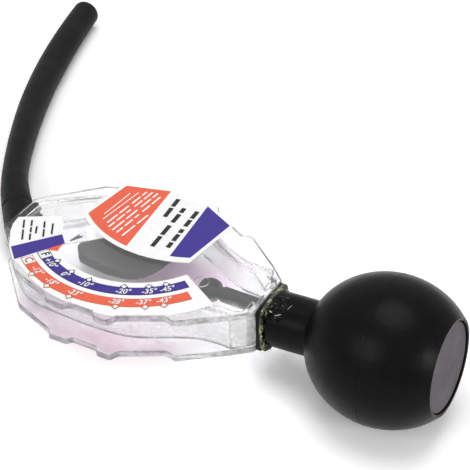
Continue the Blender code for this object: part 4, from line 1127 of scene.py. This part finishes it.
def rules_tree():
    """Put a flat bar on every point of the seed, with the point's own length and width."""
    tree, start, names = start_tree("printed_rules", {"Thickness": "Float"})
    block = add_node(tree, "GeometryNodeMeshCube", {"Size": WHITE})
    size = add_node(tree, "ShaderNodeCombineXYZ", {
        "X": carried(tree, "long"), "Y": carried(tree, "wide"), "Z": start["Thickness"],
    })
    return tree, start, names, block, {"Scale": size}


def printed(name, places, layer, columns, begun, values):
    """Marks on a layer of ink: the tree's block on every place, turned by its own angle."""
    tree, start, names, block, more = begun
    turn = add_node(tree, "ShaderNodeCombineXYZ", {"Z": carried(tree, "turn")})
    spin = add_node(tree, "FunctionNodeEulerToRotation", {0: turn})
    placed = add_node(tree, "GeometryNodeInstanceOnPoints", {
        "Points": start["Geometry"], "Instance": block, "Rotation": spin, **more,
    })
    end_tree(tree, start, placed)
    raised = [(*place, ink_low(layer) + INK_THICKNESS / 2) for place in places]
    values["Thickness"] = INK_THICKNESS
    grown(name, raised, [], columns, tree, names, values, LYING)


def diamonds(name, radius, angles, half, finish, layer):
    places = [on_arc(DIAL_CENTRE, radius, angle) for angle in angles]
    printed(name, places, layer, {"turn": angles}, diamonds_tree(), {"Half Diagonal": half, "Finish": finish})


def rules(name, rows, finish, layer):
    bars = []
    for start, end, width, shares in rows:
        first, last = Vector(start), Vector(end)
        turn = atan2(last.y - first.y, last.x - first.x)
        for begin, stop in shares:
            here, there = first.lerp(last, begin), first.lerp(last, stop)
            bars.append(((here + there) / 2, turn, (there - here).length, width))
    places, turns, lengths, widths = zip(*bars)
    columns = {"turn": turns, "long": lengths, "wide": widths}
    printed(name, places, layer, columns, rules_tree(), {"Finish": finish})


def make_dial(inks):
    for name, radii, ends, line in (
        ("orange", ORANGE_BAND, ORANGE_BAND_ENDS, "brown"), ("blue", BLUE_BAND, BLUE_BAND_ENDS, "navy"),
    ):
        band(name + "_band_line", radii, ends, inks[line])
        turn = BAND_LINE / radii[0]
        inside = (radii[0] + BAND_LINE, radii[1] - BAND_LINE)
        band(name + "_band", inside, (ends[0] + turn, ends[1] - turn), inks[name], 1)

    entries = []
    for numbers, radius in ((ORANGE_NUMBERS, ORANGE_NUMBER_RADIUS), (BLUE_NUMBERS, BLUE_NUMBER_RADIUS)):
        for text, degrees in numbers:
            angle = radians(degrees)
            place = on_arc(DIAL_CENTRE, radius, angle)
            entries.append((text, place, angle + pi / 2, NUMBER_HEIGHT, NUMBER_SLANT))
    letters("dial_numbers", entries, inks["white_ink"], 4)

    for name, radius, angles, line in (
        ("blue_marks", BLUE_BAND[0] - MARK_OUTSET, BLUE_MARKS, "navy"),
        ("orange_marks", ORANGE_BAND[1] + MARK_OUTSET, ORANGE_MARKS, "brown"),
    ):
        diamonds(name + "_edge", radius, angles, MARK_HALF, inks[line], 2)
        diamonds(name + "_middle", radius, angles, MARK_HALF - MARK_LINE, inks["white_ink"], 3)

    for letter, angle, band_radii, line in (
        ("C", ORANGE_LETTER_ANGLE, ORANGE_BAND, "brown"), ("F", BLUE_LETTER_ANGLE, BLUE_BAND, "dark_ink"),
    ):
        middle = Vector(on_arc(DIAL_CENTRE, sum(band_radii) / 2, angle)).to_3d()
        turn = Matrix.Translation(middle) @ Matrix.Rotation(angle + pi / 2, 4, "Z")
        box = "letter_box_" + letter.lower()
        for piece, half, finish, layer in (
            (box + "_line", LETTER_BOX_HALF + BAND_LINE, line, 2), (box, LETTER_BOX_HALF, "white_ink", 3),
        ):
            corners = [(turn @ Vector((x * half, y * half, 0))).to_2d() for x, y in SQUARE]
            ink(piece, corners, inks[finish], layer)
        entry = (letter, middle, angle + pi / 2, LETTER_HEIGHT, 0.0)
        letters("letter_" + letter.lower(), [entry], inks[line], 4)


def title_panel(radius, left, right, top):
    """A panel whose lower edge follows the title label's round edge."""
    spokes = [Vector(corner) - TITLE_ARC_CENTRE for corner in (left, right)]
    ends = [atan2(spoke.y, spoke.x) for spoke in spokes]
    return arc(TITLE_ARC_CENTRE, radius, *ends, TITLE_ARC_STEPS) + list(top)


def make_labels(inks):
    make_scale_film(inks["white"])
    title = frame["nodes"]["title_label"].data.materials
    title.clear()
    title.append(inks["white"])
    make_dial(inks)
    ink("key_bar", KEY_BAR, inks["blue"], 1)
    ink("key_corner", KEY_CORNER, inks["orange"])
    rules("key_rules", KEY_RULES, inks["dark_ink"], 1)
    ink("title_orange_panel", title_panel(*TITLE_ORANGE), inks["orange"])
    ink("title_blue_panel", title_panel(*TITLE_BLUE), inks["blue"])
    rules("title_dark_rules", TITLE_RULES, inks["dark_ink"], 1)
    rules("title_white_rules", PANEL_RULES, inks["white_ink"], 1)


def build():
    bpy.context.scene.view_settings.view_transform = "Standard"
    make_camera()
    rubbers = {name: rubber_finish(name + "_rubber", *values) for name, values in RUBBERS.items()}
    make_hose(rubbers["hose"])
    make_floor()
    make_world()
    make_lamps()

    inks = {name: print_finish("label_" + name, colour) for name, colour in INKS.items()}
    # Both clear plastics carry patches of painted lilac light and shade
    clear_front = clear_finish("clear_front_plastic", FRONT_PAINTED_LIGHT, FRONT_HAZE, crumpled=True)
    clear_back = clear_finish("clear_back_plastic", BACK_PAINTED_LIGHT, BACK_HAZE)
    merged_copy("front_shell", "front_plate", clear_front)
    merged_copy("back_shell", "chamber", clear_back)
    merged_copy("pointer_arm", "pointer_strip", arm_finish(), "float_assembly")
    merged_copy("inlet_nozzle", "inlet_collar", rubbers["collar"])
    merged_copy("bulb_plug", "neck_plug", rubbers["plug"])
    merged_copy("float", "float_plate", float_finish(), "float_assembly")
    merged_copy("pointer_tip", "pointer_arrow", inks["dark_ink"], "float_assembly")
    merged_copy("pivot_pin", "float_pin", metal_finish("pin_steel", PIN_STEEL, 0.25))
    weight = metal_finish("weight_brass", WEIGHT_BRASS, 0.3)
    merged_copy("float_weight", "float_slug", weight, "float_assembly")
    make_collar_root(rubbers["root"])
    make_bulb(rubbers["bulb"])
    make_end_disc(rubbers["disc"])
    make_glue(glue_finish())
    make_smear(smear_finish())
    # The pale threads on the neck are painted glints
    make_glint_threads(print_finish("glue_pale", GLINT_PALE, 0.15))
    make_labels(inks)


build()
